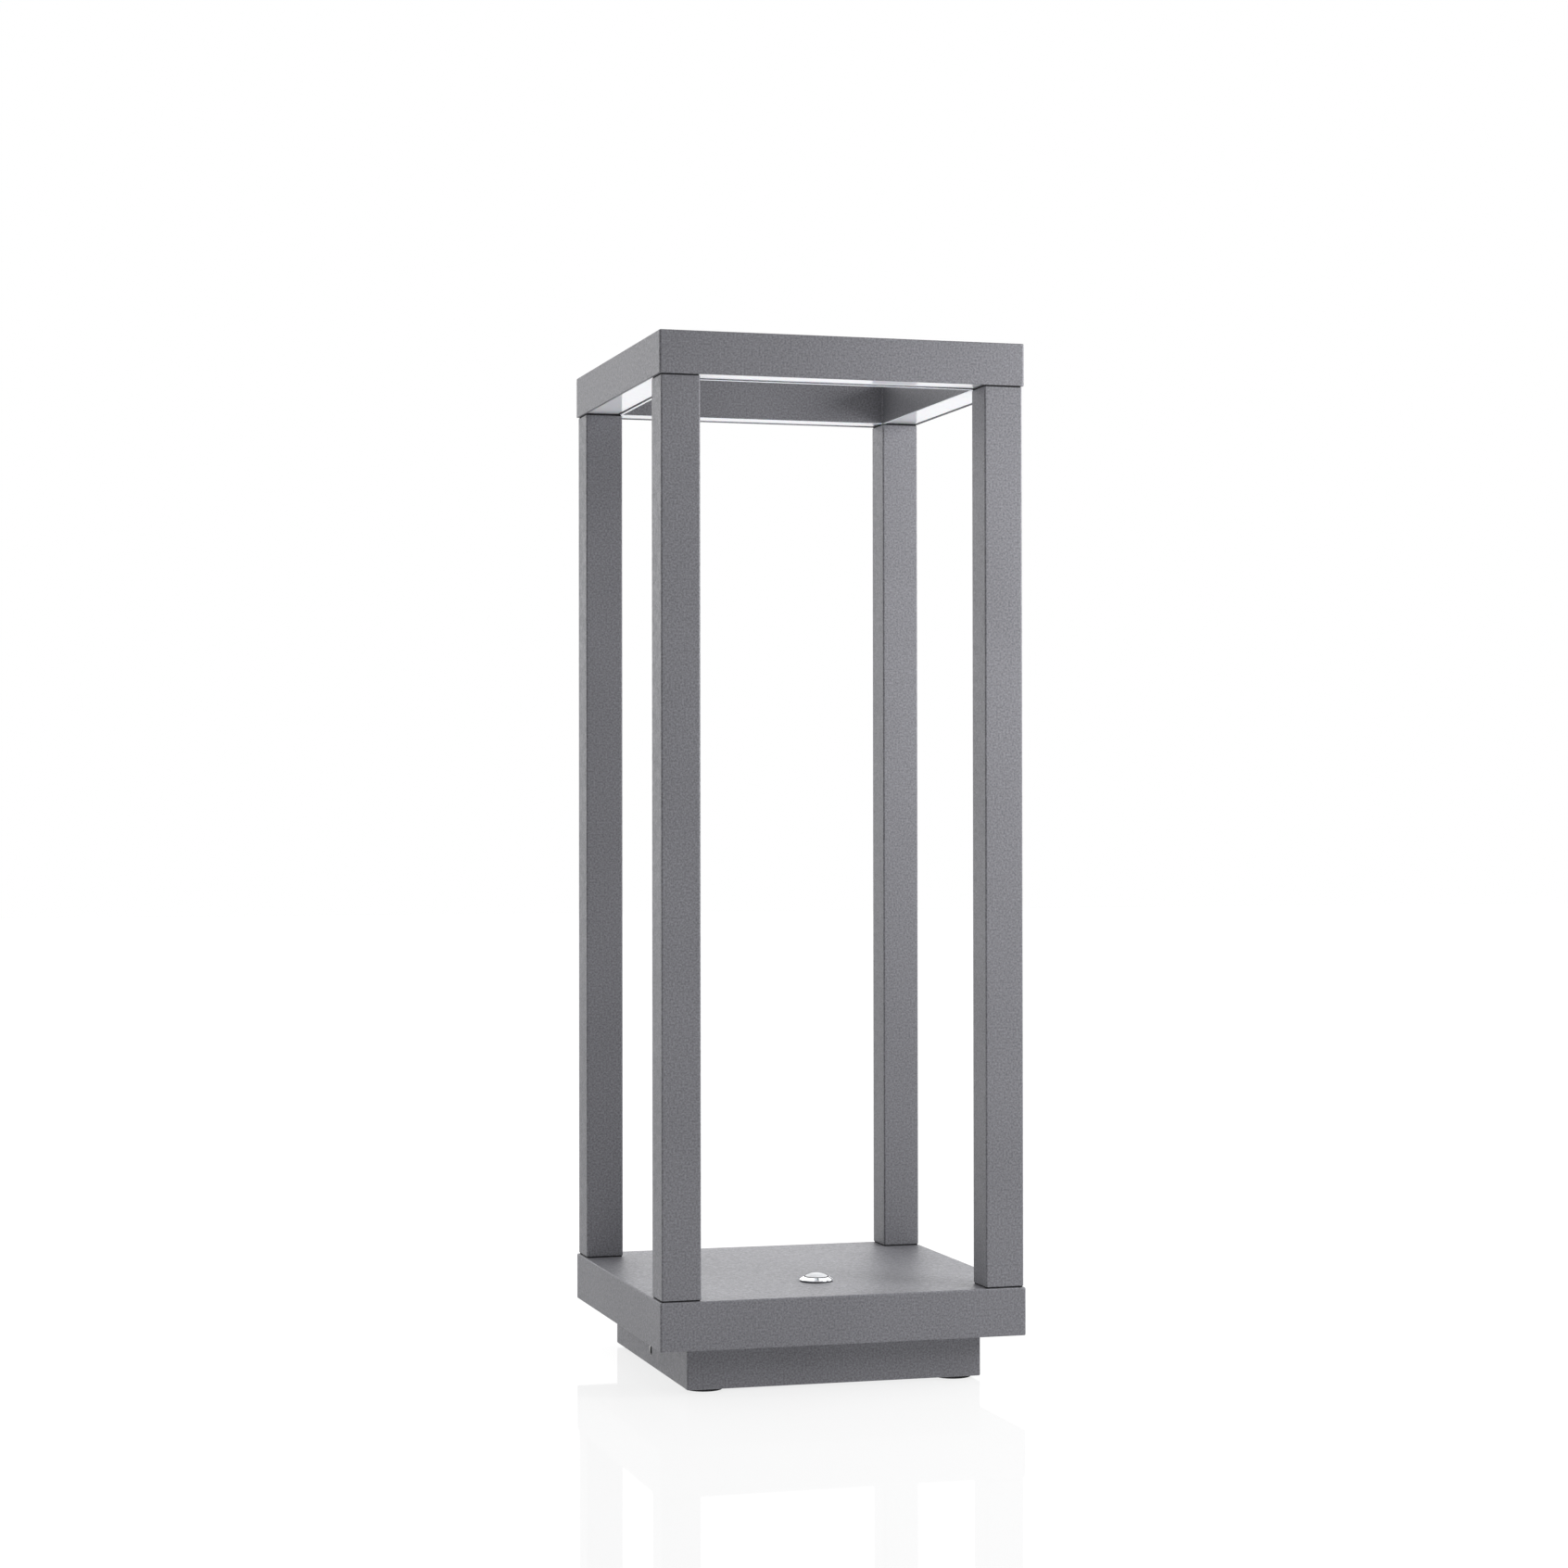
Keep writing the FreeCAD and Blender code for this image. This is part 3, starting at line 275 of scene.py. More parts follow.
class Finish:
    """Node material whose colour, roughness and relief vary with small grains in the object."""

    def __init__(self, name, roughness, **sockets):
        self.material = bpy.data.materials.new(name)
        self.material.use_nodes = True
        self.tree = self.material.node_tree
        self.shader = self.tree.nodes["Principled BSDF"]
        self.place = self.node("ShaderNodeTexCoord").outputs["Object"]
        self.shader.inputs["Roughness"].default_value = roughness
        for socket, setting in sockets.items():
            self.shader.inputs[socket.replace("_", " ")].default_value = setting

    def node(self, kind, **settings):
        made = self.tree.nodes.new(kind)
        for key, setting in settings.items():
            setattr(made, key, setting)
        return made

    def link(self, source, target):
        self.tree.links.new(source, target)

    def noise(self, grain, detail=2.0, rough=0.5, stretch=(1, 1, 1)):
        """Noise between about 0.3 and 0.7 with grains of the given size in metres."""
        move = self.node("ShaderNodeMapping")
        move.inputs["Scale"].default_value = [s / grain for s in stretch]
        self.link(self.place, move.inputs["Vector"])
        made = self.node("ShaderNodeTexNoise")
        made.inputs["Scale"].default_value = 1.0
        made.inputs["Detail"].default_value = detail
        made.inputs["Roughness"].default_value = rough
        self.link(move.outputs["Vector"], made.inputs["Vector"])
        return made.outputs["Fac"]

    def cells(self, grain):
        """Distance to the nearest of scattered points that lie about a grain apart."""
        move = self.node("ShaderNodeMapping")
        move.inputs["Scale"].default_value = [1 / grain] * 3
        self.link(self.place, move.inputs["Vector"])
        made = self.node("ShaderNodeTexVoronoi")
        made.inputs["Scale"].default_value = 1.0
        self.link(move.outputs["Vector"], made.inputs["Vector"])
        return made.outputs["Distance"]

    def spread(self, source, low, high, start=0.3, end=0.7):
        """Map a noise onto a range of values."""
        made = self.node("ShaderNodeMapRange")
        made.inputs["From Min"].default_value = start
        made.inputs["From Max"].default_value = end
        made.inputs["To Min"].default_value = low
        made.inputs["To Max"].default_value = high
        self.link(source, made.inputs["Value"])
        return made.outputs["Result"]

    def mix(self, factor, first, second):
        """Colour between two colours, each a tuple or a socket."""
        made = self.node("ShaderNodeMix", data_type="RGBA")
        self.link(factor, made.inputs[0])
        for slot, colour in ((6, first), (7, second)):
            if isinstance(colour, tuple):
                made.inputs[slot].default_value = (*colour, 1)
            else:
                self.link(colour, made.inputs[slot])
        return made.outputs[2]

    def colour(self, source):
        self.link(source, self.shader.inputs["Base Color"])

    def roughness(self, source):
        self.link(source, self.shader.inputs["Roughness"])

    def relief(self, source, height, strength=1.0):
        """Bump of the given height in metres, on top of any made before."""
        made = self.node("ShaderNodeBump")
        made.inputs["Strength"].default_value = strength
        made.inputs["Distance"].default_value = height
        self.link(source, made.inputs["Height"])
        before = self.shader.inputs["Normal"].links
        if before:
            self.link(before[0].from_socket, made.inputs["Normal"])
        self.link(made.outputs["Normal"], self.shader.inputs["Normal"])


def tone(colour, factor):
    """Colour made lighter or darker by a factor."""
    return tuple(min(1.0, part * factor) for part in colour)


def powder_coat():
    """Fine-textured metallic grey: flakes in the lacquer over a soft orange peel."""
    grey = (0.155, 0.155, 0.17)
    coat = Finish("powder_coat_fine", 0.5, Metallic=0.3, IOR=1.5)
    flakes = coat.spread(coat.noise(1.0 * MM, detail=2.0, rough=0.6), 0, 1, 0.34, 0.66)
    broad = coat.spread(coat.noise(70 * MM, detail=1.0), 0, 1, 0.35, 0.65)
    ground = coat.mix(broad, tone(grey, 0.7), tone(grey, 0.76))
    lit = coat.mix(broad, tone(grey, 1.32), tone(grey, 1.4))
    coat.colour(coat.mix(flakes, ground, lit))
    coat.roughness(coat.spread(coat.noise(2.5 * MM, detail=2.0), 0.44, 0.58))
    coat.relief(coat.noise(1.1 * MM, detail=2.0, rough=0.55), 0.05 * MM, 0.6)
    coat.relief(coat.cells(0.55 * MM), 0.02 * MM, 0.4)


def opal_diffuser():
    """Glossy opal acrylic, milky under a clear skin."""
    milk = (0.86, 0.87, 0.92)
    opal = Finish("opal_acrylic", 0.07, IOR=1.49, Subsurface_Weight=0.15,
                  Subsurface_Scale=1.5 * MM)
    haze = opal.spread(opal.noise(14 * MM, detail=2.0), 0, 1)
    opal.colour(opal.mix(haze, tone(milk, 0.985), tone(milk, 1.01)))
    opal.roughness(opal.spread(opal.noise(5 * MM, detail=3.0), 0.05, 0.1))
    opal.relief(opal.noise(22 * MM, detail=1.0), 0.04 * MM, 0.3)


def black_rubber():
    dark = (0.008, 0.008, 0.009)
    rubber = Finish("moulded_rubber", 0.8, IOR=1.4)
    dust = rubber.spread(rubber.noise(2.2 * MM, detail=4.0, rough=0.65), 0, 1)
    rubber.colour(rubber.mix(dust, dark, tone(dark, 1.7)))
    rubber.roughness(rubber.spread(rubber.noise(1.0 * MM), 0.7, 0.9))
    rubber.relief(rubber.noise(0.35 * MM, detail=2.0), 0.02 * MM, 0.6)


def polished_chrome():
    """Bright chrome plate with faint polishing haze."""
    plate = (0.88, 0.89, 0.91)
    chrome = Finish("chrome_plate", 0.05, Metallic=1.0)
    haze = chrome.spread(chrome.noise(1.6 * MM, detail=3.0), 0, 1)
    chrome.colour(chrome.mix(haze, tone(plate, 0.97), plate))
    chrome.roughness(chrome.spread(chrome.noise(0.8 * MM, detail=2.0), 0.03, 0.085))
    chrome.relief(chrome.noise(5 * MM, detail=1.0), 0.002 * MM, 0.2)


def cap_chrome():
    """Satin plate of the cap's face, nearly even in tone."""
    plate = (0.68, 0.69, 0.71)
    chrome = Finish("satin_plate", 0.45, Metallic=0.1)
    haze = chrome.spread(chrome.noise(1.2 * MM, detail=3.0), 0, 1)
    chrome.colour(chrome.mix(haze, tone(plate, 0.95), plate))
    chrome.roughness(chrome.spread(chrome.noise(0.5 * MM, detail=3.0), 0.4, 0.5))
    chrome.relief(chrome.noise(0.25 * MM, detail=2.0), 0.001 * MM, 0.3)


def simple_finishes():
    """Grained finishes of the parts inside.

    Each row: colour, factor of its second tone, grain in mm, roughness range, relief in mm,
    metallic.
    """
    table = {
        "board_mask": ((0.82, 0.83, 0.83), 0.9, 3.0, (0.32, 0.45), 0.01, 0.0),
        "chip_resin": ((0.85, 0.72, 0.35), 0.9, 0.8, (0.25, 0.4), 0.01, 0.0),
        "moulded_nylon": ((0.022, 0.022, 0.024), 1.6, 1.2, (0.42, 0.58), 0.02, 0.0),
        "zinc_steel": ((0.55, 0.56, 0.58), 0.85, 1.5, (0.24, 0.42), 0.008, 1.0),
        "tin_brass": ((0.72, 0.56, 0.28), 0.85, 1.0, (0.2, 0.36), 0.006, 1.0),
        "cell_film": ((0.05, 0.16, 0.34), 1.25, 4.0, (0.2, 0.34), 0.01, 0.0),
        "solder_mask": ((0.02, 0.16, 0.06), 1.3, 2.0, (0.25, 0.38), 0.01, 0.0),
        # White of the inlet lip: a painted highlight at the mouth of the charging inlet.
        "highlight_white_nylon": ((0.85, 0.85, 0.85), 0.95, 1.2, (0.3, 0.4), 0.005, 0.0),
        "lead_vinyl": ((0.03, 0.03, 0.032), 1.6, 1.5, (0.35, 0.5), 0.01, 0.0),
    }
    for name, (base, other, grain, rough, height, metallic) in table.items():
        made = Finish(name, rough[0], Metallic=metallic, IOR=1.5)
        blotch = made.spread(made.noise(grain * MM, detail=3.0, rough=0.6), 0, 1)
        made.colour(made.mix(blotch, base, tone(base, other)))
        made.roughness(made.spread(made.noise(grain * 2 * MM, detail=2.0), *rough))
        made.relief(made.noise(grain / 3 * MM, detail=2.0), height * MM, 0.6)


FINISH_OF_SLOT = {
    "powder_coat": "powder_coat_fine",
    "opal_diffuser": "opal_acrylic",
    "black_rubber": "moulded_rubber",
    "board_aluminium": "board_mask",
    "chip_white": "chip_resin",
    "black_plastic": "moulded_nylon",
    "bright_steel": "zinc_steel",
    "polished_chrome": "chrome_plate",
    "plated_brass": "tin_brass",
    "cell_wrap": "cell_film",
    "board_green": "solder_mask",
    "lead_jacket": "lead_vinyl",
}


def dress_cad_nodes():
    """Give every node carried over from the CAD the finish of its slot."""
    slots = {row["node"]: row["material_slot"] for row in frame["record"]["subparts"]}
    for name, thing in frame["nodes"].items():
        thing.data.materials.clear()
        thing.data.materials.append(bpy.data.materials[FINISH_OF_SLOT[slots[name]]])


# ------------------------------------------------------------------ light ring

def centre_of(node):
    """Plan centre of a CAD node."""
    low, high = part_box(node)
    return (low[0] + high[0]) / 2, (low[1] + high[1]) / 2


def shell_rounding(outer, inner):
    """Corner radius of a square loop, so that walls keep their thickness round the corners."""
    middle = (outer + inner) / 2

    def radius(half):
        if half > middle:
            return max(0.2 * MM, CORNER_ROUND - (outer - half))
        return INNER_ROUND + (half - inner)
    return radius


def make_ring():
    """Channel of four mitred sides, open below, with a floor and a boss in each corner."""
    outer, _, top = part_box("top_frame")[1]
    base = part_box("upper_seal_front_left")[1][2]
    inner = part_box("post_front_right")[0][0]
    roof = top - RING_ROOF
    points = [
        (outer, base), (outer, top), (inner, top), (inner, base),
        (inner + RING_WALL, base), (inner + RING_WALL, roof),
        (outer - RING_WALL, roof), (outer - RING_WALL, base),
    ]
    radii = [SMALL_ROUND, EDGE_ROUND, EDGE_ROUND, SMALL_ROUND, SMALL_ROUND,
             EDGE_ROUND, EDGE_ROUND, SMALL_ROUND]
    profile = rounded(points, radii)
    ring = solid("ring_shell", lambda bm: square_shell(
        bm, profile, shell_rounding(outer, inner), closed=True))
    corners = [centre_of("post_" + name) for name, _, _ in CORNERS]
    floor_half = (outer - inner) / 2 - RING_WALL / 2

    def floors(bm):
        for x, y in corners:
            middle = (inner + outer) / 2
            cx, cy = math.copysign(middle, x), math.copysign(middle, y)
            prism(bm, square_loop(floor_half, SMALL_ROUND, cx, cy), base + SMALL_ROUND,
                  base + CORNER_FLOOR)

    def bosses(bm):
        for x, y in corners:
            prism(bm, circle_loop(RING_BOSS, x, y), base + CORNER_FLOOR / 2, roof + RING_ROOF / 2)

    def spigots(bm):
        for x, y in corners:
            prism(bm, square_loop(SPIGOT_HALF, SMALL_ROUND, x, y), base - SPIGOT_HEIGHT,
                  base + CORNER_FLOOR / 2)

    def holes(bm):
        for x, y in corners:
            prism(bm, circle_loop(ROD_HOLE, x, y), base - 2 * SPIGOT_HEIGHT,
                  base + THREAD_DEPTH)
        plug = centre_of("led_plug")[0]
        prism(bm, circle_loop(LEAD_HOLE, plug, plug), base - 2 * SPIGOT_HEIGHT,
              base + 2 * CORNER_FLOOR)

    for operation, draw in (("UNION", floors), ("UNION", bosses), ("UNION", spigots),
                            ("DIFFERENCE", holes)):
        combine(ring, operation, draw)
    finish(ring, "powder_coat_fine", nodes=["top_frame"])


def side_bar(name, outline, half, angle, finish_name, nodes=()):
    """Bar along one side of the ring. The (y, z) outline is that of the front side's bar."""
    turn = Matrix.Rotation(math.radians(angle), 4, "Z")

    def draw(bm):
        bridge(bm, [[turn @ Vector((x, y, z)) for y, z in outline] for x in (-half, half)])

    finish(solid(name, draw), finish_name, nodes=nodes, sharp=30)


def make_strips():
    """Opal strips with barbed legs, black strips in the grooves, and light beads on the inner rim
    that are a painted highlight of the wall's lower edge.
    """
    low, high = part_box("diffuser_front")
    seal_low, seal_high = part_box("diffuser_seal_front")
    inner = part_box("post_front_right")[0][0]
    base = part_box("upper_seal_front_left")[1][2]
    half, face, top = high[0], low[2], high[2]
    back, hook = face + STRIP_THICKNESS, face + HOOK_LEVEL
    wall_side, bore_side = low[1] + SNAP_RIB, high[1] - STRIP_BARB
    points = [
        (low[1], face), (seal_low[1], face), (seal_low[1], back), (bore_side, back),
        (bore_side, hook), (bore_side + STRIP_BARB, hook), (bore_side - STRIP_LEG / 2, top),
        (bore_side - STRIP_LEG, top), (bore_side - STRIP_LEG, back),
        (wall_side + STRIP_LEG, back), (wall_side + STRIP_LEG, top),
        (wall_side + STRIP_LEG / 2, top), (wall_side - STRIP_BARB, hook), (wall_side, hook),
        (wall_side, back), (low[1], back),
    ]
    strip = rounded(points, [0.2 * MM] * 2 + [0] * 14, steps=3)
    seal = rounded(
        [(seal_low[1], seal_low[2]), (seal_high[1], seal_low[2]),
         (seal_high[1], seal_high[2]), (seal_low[1], seal_high[2])],
        [0.15 * MM, 0.15 * MM, 0, 0], steps=3)
    # The opal bead under the inner wall's rim is a painted highlight: its light colour stands in
    # for the light caught by the wall's lower edge.
    rim_outer, rim_inner = seal_high[1] + 0.1 * MM, -inner - 0.05 * MM
    highlight_bead = rounded(
        [(rim_outer, base - HIGHLIGHT_BEAD_HEIGHT), (rim_inner, base - HIGHLIGHT_BEAD_HEIGHT),
         (rim_inner, base), (rim_outer, base)],
        [0.1 * MM, 0.1 * MM, 0, 0], steps=3)
    for side, angle in SIDES:
        side_bar("opal_strip_" + side, strip, half, angle, "opal_acrylic",
                 ["diffuser_" + side])
        side_bar("groove_seal_" + side, seal, half, angle, "moulded_rubber",
                 ["diffuser_seal_" + side])
        side_bar("rim_highlight_bead_" + side, highlight_bead, half, angle, "opal_acrylic")


# ------------------------------------------------------------------ cage

def make_posts():
    """Square tubes with rolled corners, between thin rubber gaskets that bulge a little."""
    for name, _, _ in CORNERS:
        low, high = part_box("post_" + name)
        x, y = centre_of("post_" + name)
        half = (high[0] - low[0]) / 2
        bore = half - POST_WALL
        points = [(half, low[2]), (half, high[2]), (bore, high[2]), (bore, low[2])]
        profile = rounded(points, [SMALL_ROUND] * 4, steps=3)

        def radius(reach):
            return POST_ROUND - (half - reach) if reach > half - POST_ROUND / 2 else 0.4 * MM

        post = solid("post_tube_" + name, lambda bm: square_shell(
            bm, profile, radius, closed=True, x=x, y=y))
        finish(post, "powder_coat_fine", nodes=["post_" + name])
        for end in ("lower", "upper"):
            node = f"{end}_seal_{name}"
            low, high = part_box(node)
            edge, middle = (high[0] - low[0]) / 2, (low[2] + high[2]) / 2
            thick = high[2] - low[2]
            swell, crest, hole = edge + 0.1 * MM, edge + 0.14 * MM, SPIGOT_HALF + 0.1 * MM
            bulge = [(edge, low[2]), (swell, middle - thick / 4), (crest, middle),
                     (swell, middle + thick / 4), (edge, high[2]), (hole, high[2]),
                     (hole, low[2])]
            gasket = solid("gasket_" + node, lambda bm: square_shell(
                bm, bulge, lambda reach: 0.8 * MM, closed=True, x=x, y=y))
            finish(gasket, "moulded_rubber", nodes=[node])


# ------------------------------------------------------------------ slab and plinth

def screw_places():
    """Plan centres of the flange screws, two along each side."""
    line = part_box("housing_screws")[1][0] - SCREW_HEAD
    places = [(side * line, along * SCREW_SPREAD) for side in (-1, 1) for along in (-1, 1)]
    return places + [(along, side) for side, along in places]


def make_slab():
    """Slab with soft edges, hollow below, with spigots for the posts and a hole for the button."""
    low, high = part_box("base_cover")
    outer, base = high[0], low[2]
    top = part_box("lower_seal_front_left")[0][2]
    ceiling, rebate = top - SLAB_ROOF, base + FLANGE + GASKET
    cavity, mouth = outer - SLAB_WALL, outer - REBATE_WALL
    points = [
        (cavity, ceiling), (cavity, rebate), (mouth, rebate), (mouth, base),
        (outer, base), (outer, top), (outer / 2, top),
    ]
    radii = [0, SMALL_ROUND, 0, SMALL_ROUND, EDGE_ROUND, EDGE_ROUND * 1.3, 0]
    profile = rounded(points, radii, closed=False)

    def radius(half):
        return max(SMALL_ROUND, CORNER_ROUND - (outer - half))

    slab = solid("slab_shell", lambda bm: square_shell(bm, profile, radius, closed=False))
    corners = [centre_of("post_" + name) for name, _, _ in CORNERS]

    def spigots(bm):
        for x, y in corners:
            prism(bm, square_loop(SPIGOT_HALF, SMALL_ROUND, x, y), top - SLAB_ROOF / 2,
                  top + SPIGOT_HEIGHT)

    def bosses(bm):
        for x, y in screw_places():
            prism(bm, circle_loop(SLAB_BOSS, x, y), rebate, top - SLAB_ROOF / 2)

    below = ceiling - 2 * OVERLAP

    def holes(bm):
        for x, y in corners:
            prism(bm, circle_loop(ROD_HOLE, x, y), below, top + 2 * SPIGOT_HEIGHT)
        plug = centre_of("led_plug")[0]
        prism(bm, circle_loop(LEAD_HOLE, plug, plug), below, top + 2 * SPIGOT_HEIGHT)
        x, y = centre_of("button_bezel")
        prism(bm, circle_loop(BARREL_HOLE, x, y, 96), below, top + 2 * OVERLAP)
        for x, y in screw_places():
            prism(bm, circle_loop(SCREW_HOLE, x, y), rebate - OVERLAP, rebate + 6 * MM)

    for operation, draw in (("UNION", spigots), ("UNION", bosses), ("DIFFERENCE", holes)):
        combine(slab, operation, draw)
    finish(slab, "powder_coat_fine", nodes=["base_cover"])


def make_plinth():
    """Plinth tray with a flange that closes the slab, and the charging inlet in its left side."""
    low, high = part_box("lower_housing")
    flange, base, top = high[0], low[2], high[2]
    outer = -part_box("charging_socket")[0][0] + PLINTH_WALL
    shelf = top - FLANGE
    inner, floor = outer - PLINTH_WALL, base + PLINTH_WALL
    points = [
        (inner, floor), (inner, top), (flange, top), (flange, shelf),
        (outer, shelf), (outer, base), (outer / 2, base),
    ]
    radii = [0, SMALL_ROUND, SMALL_ROUND, SMALL_ROUND, EDGE_ROUND * 1.5, EDGE_ROUND, 0]
    profile = rounded(points, radii, closed=False)

    def radius(half):
        if half > outer + 2 * OVERLAP:
            return CORNER_ROUND
        return max(SMALL_ROUND, CORNER_ROUND - abs(outer - half))

    tray = solid("plinth_shell", lambda bm: square_shell(bm, profile, radius, closed=False))
    pin_low, pin_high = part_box("charging_pin")
    level = (pin_low[2] + pin_high[2]) / 2
    head_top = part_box("housing_screws")[0][2] + HEAD_HEIGHT

    def inlet(bm):
        mouth = INLET_SEAT + INLET_CHAMFER
        bridge(bm, level_loops([(-outer - OVERLAP, mouth), (-outer, mouth),
                                (-outer + INLET_CHAMFER, INLET_SEAT),
                                (-inner + OVERLAP, INLET_SEAT)], level))

    def clearances(bm):
        for x, y in screw_places():
            prism(bm, circle_loop(SCREW_CLEARANCE, x, y), shelf - OVERLAP, top + OVERLAP)

    def recesses(bm):
        for x, y in screw_places():
            prism(bm, circle_loop(HEAD_RECESS, x, y), shelf - OVERLAP, head_top)

    def standoffs(bm):
        board_low, board_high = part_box("driver_board")
        for x in (board_low[0] + STANDOFF_INSET, board_high[0] - STANDOFF_INSET):
            for y in (board_low[1] + STANDOFF_INSET, board_high[1] - STANDOFF_INSET):
                prism(bm, circle_loop(STANDOFF, x, y), floor - OVERLAP, board_low[2])

    def seats(bm):
        screws_low, screws_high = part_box("holder_screws")
        y = (screws_low[1] + screws_high[1]) / 2
        for x in (screws_low[0], screws_high[0]):
            x -= math.copysign(HOLDER_SEAT_INSET, x)
            prism(bm, circle_loop(HOLDER_SEAT, x, y), floor - OVERLAP,
                  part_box("battery_holder")[0][2])

    for operation, draw in (("DIFFERENCE", inlet), ("DIFFERENCE", clearances),
                            ("DIFFERENCE", recesses), ("UNION", standoffs), ("UNION", seats)):
        combine(tray, operation, draw)
    finish(tray, "powder_coat_fine", nodes=["lower_housing"])

    # The white lip at the inlet's mouth is a painted highlight: its white stands in for the light
    # caught on the bore's far wall.
    mouth, turn_in = -outer + 0.05 * MM, -outer + 2 * INLET_CHAMFER
    highlight_lip = [(mouth, INLET_SEAT + 0.9 * INLET_CHAMFER), (-outer + INLET_CHAMFER, INLET_SEAT),
           (turn_in, INLET_SEAT), (turn_in, INLET_BORE),
           (mouth, INLET_SEAT + 0.6 * INLET_CHAMFER)]
    # The black liner through the bore is painted shade: its dark stands in for the shade inside
    # the hole.
    shade_liner = [(turn_in, INLET_SEAT), (turn_in, INLET_BORE), (-inner, INLET_BORE),
             (-inner, INLET_SEAT)]
    for name, section, finish_name, slot in (
            ("inlet_highlight_lip", highlight_lip, "highlight_white_nylon", "chip_white"),
            ("inlet_shade_liner", shade_liner, "moulded_nylon", "black_plastic")):
        ring = solid(name, lambda bm: bridge(bm, level_loops(section, level), closed=True))
        finish(ring, finish_name)


def make_feet():
    """Rubber pads with a rolled lower edge and two grooves underneath."""
    for name, _, _ in CORNERS:
        node = "foot_" + name
        low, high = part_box(node)
        x, y = centre_of(node)
        reach = (high[0] - low[0]) / 2
        base, top = low[2], high[2]
        points = [(0, base)]
        radii = [0]
        for start in (4 * MM, 7 * MM):
            end, depth = start + 0.8 * MM, base + 0.4 * MM
            points += [(start, base), (start, depth), (end, depth), (end, base)]
            radii += [0.1 * MM] * 4
        points += [(reach, base), (reach, top), (0, top)]
        radii += [0.6 * MM, 0.1 * MM, 0]
        profile = rounded(points, radii, steps=3, closed=False)
        foot = solid("rubber_" + node, lambda bm: lathe(bm, profile, x, y, closed=False))
        finish(foot, "moulded_rubber", nodes=[node], sharp=50)


def make_screws():
    """Socket-head screws, sunk in the underside of the flange."""
    (_, _, base), (_, _, end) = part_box("housing_screws")
    head_top = base + HEAD_HEIGHT
    head, shank, key, key_depth = SCREW_HEAD, 2 * MM, 3 * MM, 1.2 * MM
    points = [(0, base), (head, base), (head, head_top), (shank, head_top), (shank, end), (0, end)]
    profile = rounded(points, [0, 0.6 * MM, 0.15 * MM, 0, 0.4 * MM, 0], closed=False)

    def screws(bm):
        for x, y in screw_places():
            lathe(bm, profile, x, y, 48, closed=False)

    def keys(bm):
        for x, y in screw_places():
            prism(bm, hexagon_loop(key, x, y), base - OVERLAP, base + key_depth)

    made = solid("flange_screws", screws)
    combine(made, "DIFFERENCE", keys)
    finish(made, "zinc_steel", nodes=["housing_screws"])


# ------------------------------------------------------------------ push button

def turned(name, profile, node, count=128, closed=True):
    """Solid turned about the plan centre of a CAD node."""
    x, y = centre_of(node)
    return solid(name, lambda bm: lathe(bm, profile, x, y, count, closed))


def dome_arc(reach, rim, apex, steps=24):
    """Points of a dome's arc between its rim and its apex, without either."""
    height = apex - rim
    radius = (reach ** 2 + height ** 2) / (2 * height)
    start = math.asin(reach / radius)
    angles = [start * step / steps for step in range(steps - 1, 0, -1)]
    return [(radius * math.sin(angle), apex - radius + radius * math.cos(angle))
            for angle in angles]


def make_button():
    """Chromed head with a sloping rim, domed cap, dark rubber ring round the cap that is partly a
    wiper seal and partly painted shade in the gap, seal under the head.
    """
    low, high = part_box("button_bezel")
    seal_low, seal_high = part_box("button_seal")
    cap_low, cap_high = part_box("button_cap")
    flange, barrel, crest = (high[0] - low[0]) / 2, 8 * MM, 6.8 * MM
    top, seat, base = high[2], seal_high[2], low[2]
    bore, well, step = 6.3 * MM, 7.2 * MM, seal_low[2] - 4 * MM
    lead_in, flange_edge = 0.35 * MM, 0.6 * MM
    points = [
        (bore, top - lead_in), (bore + lead_in, top), (crest, top), (flange, seat + flange_edge),
        (flange, seat), (barrel, seat), (barrel, base), (well, base), (well, step), (bore, step),
    ]
    radii = [0.08 * MM, 0.08 * MM, 0.1 * MM, 0.15 * MM, 0.15 * MM, 0, 0.2 * MM, 0, 0, 0]
    bezel = turned("button_head", rounded(points, radii, 3), "button_bezel", 160)
    finish(bezel, "chrome_plate", nodes=["button_bezel"], sharp=50)

    reach, rim, apex = 6.1 * MM, top + 0.3 * MM, cap_high[2]
    arc = dome_arc(reach, rim, apex)
    collar, stem = (cap_high[0] - cap_low[0]) / 2, 2.5 * MM
    collar_top, collar_base = step - 0.3 * MM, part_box("button_spring")[1][2]
    points = [(0, cap_low[2]), (stem, cap_low[2]), (stem, collar_base), (collar, collar_base),
              (collar, collar_top), (reach, collar_top), (reach, rim), arc[0]]
    radii = [0, 0.3 * MM, 0, 0.1 * MM, 0.1 * MM, 0, 0.15 * MM, 0]
    profile = rounded(points, radii, 3, closed=False) + arc[1:] + [(0, apex)]
    cap = turned("button_dome", profile, "button_bezel", closed=False)
    finish(cap, "satin_plate", body=BUTTON, nodes=["button_cap"], sharp=50)

    # The black rubber wiper round the cap is partly a real wiper seal and partly painted shade:
    # its dark ring stands in for the shade in the gap.
    inside, foot = reach + 0.03 * MM, top - 1 * MM
    points = [(bore + lead_in, top - 0.2 * MM), (bore + 0.3 * MM, rim), (inside, rim),
              (inside, foot), (bore, foot), (bore, top - 0.4 * MM)]
    shade_wiper = turned("button_shade_wiper", rounded(points, [0, 0.1 * MM, 0.1 * MM, 0, 0, 0], 3),
                   "button_bezel")
    finish(shade_wiper, "moulded_rubber", sharp=50)

    edge, hole = (seal_high[0] - seal_low[0]) / 2, 8.2 * MM
    points = [(edge, seal_low[2]), (edge, seal_high[2]), (hole, seal_high[2]), (hole, seal_low[2])]
    seal = turned("button_gasket", rounded(points, [0.15 * MM, 0.15 * MM, 0, 0], 3),
                  "button_bezel")
    finish(seal, "moulded_rubber", nodes=["button_seal"], sharp=50)


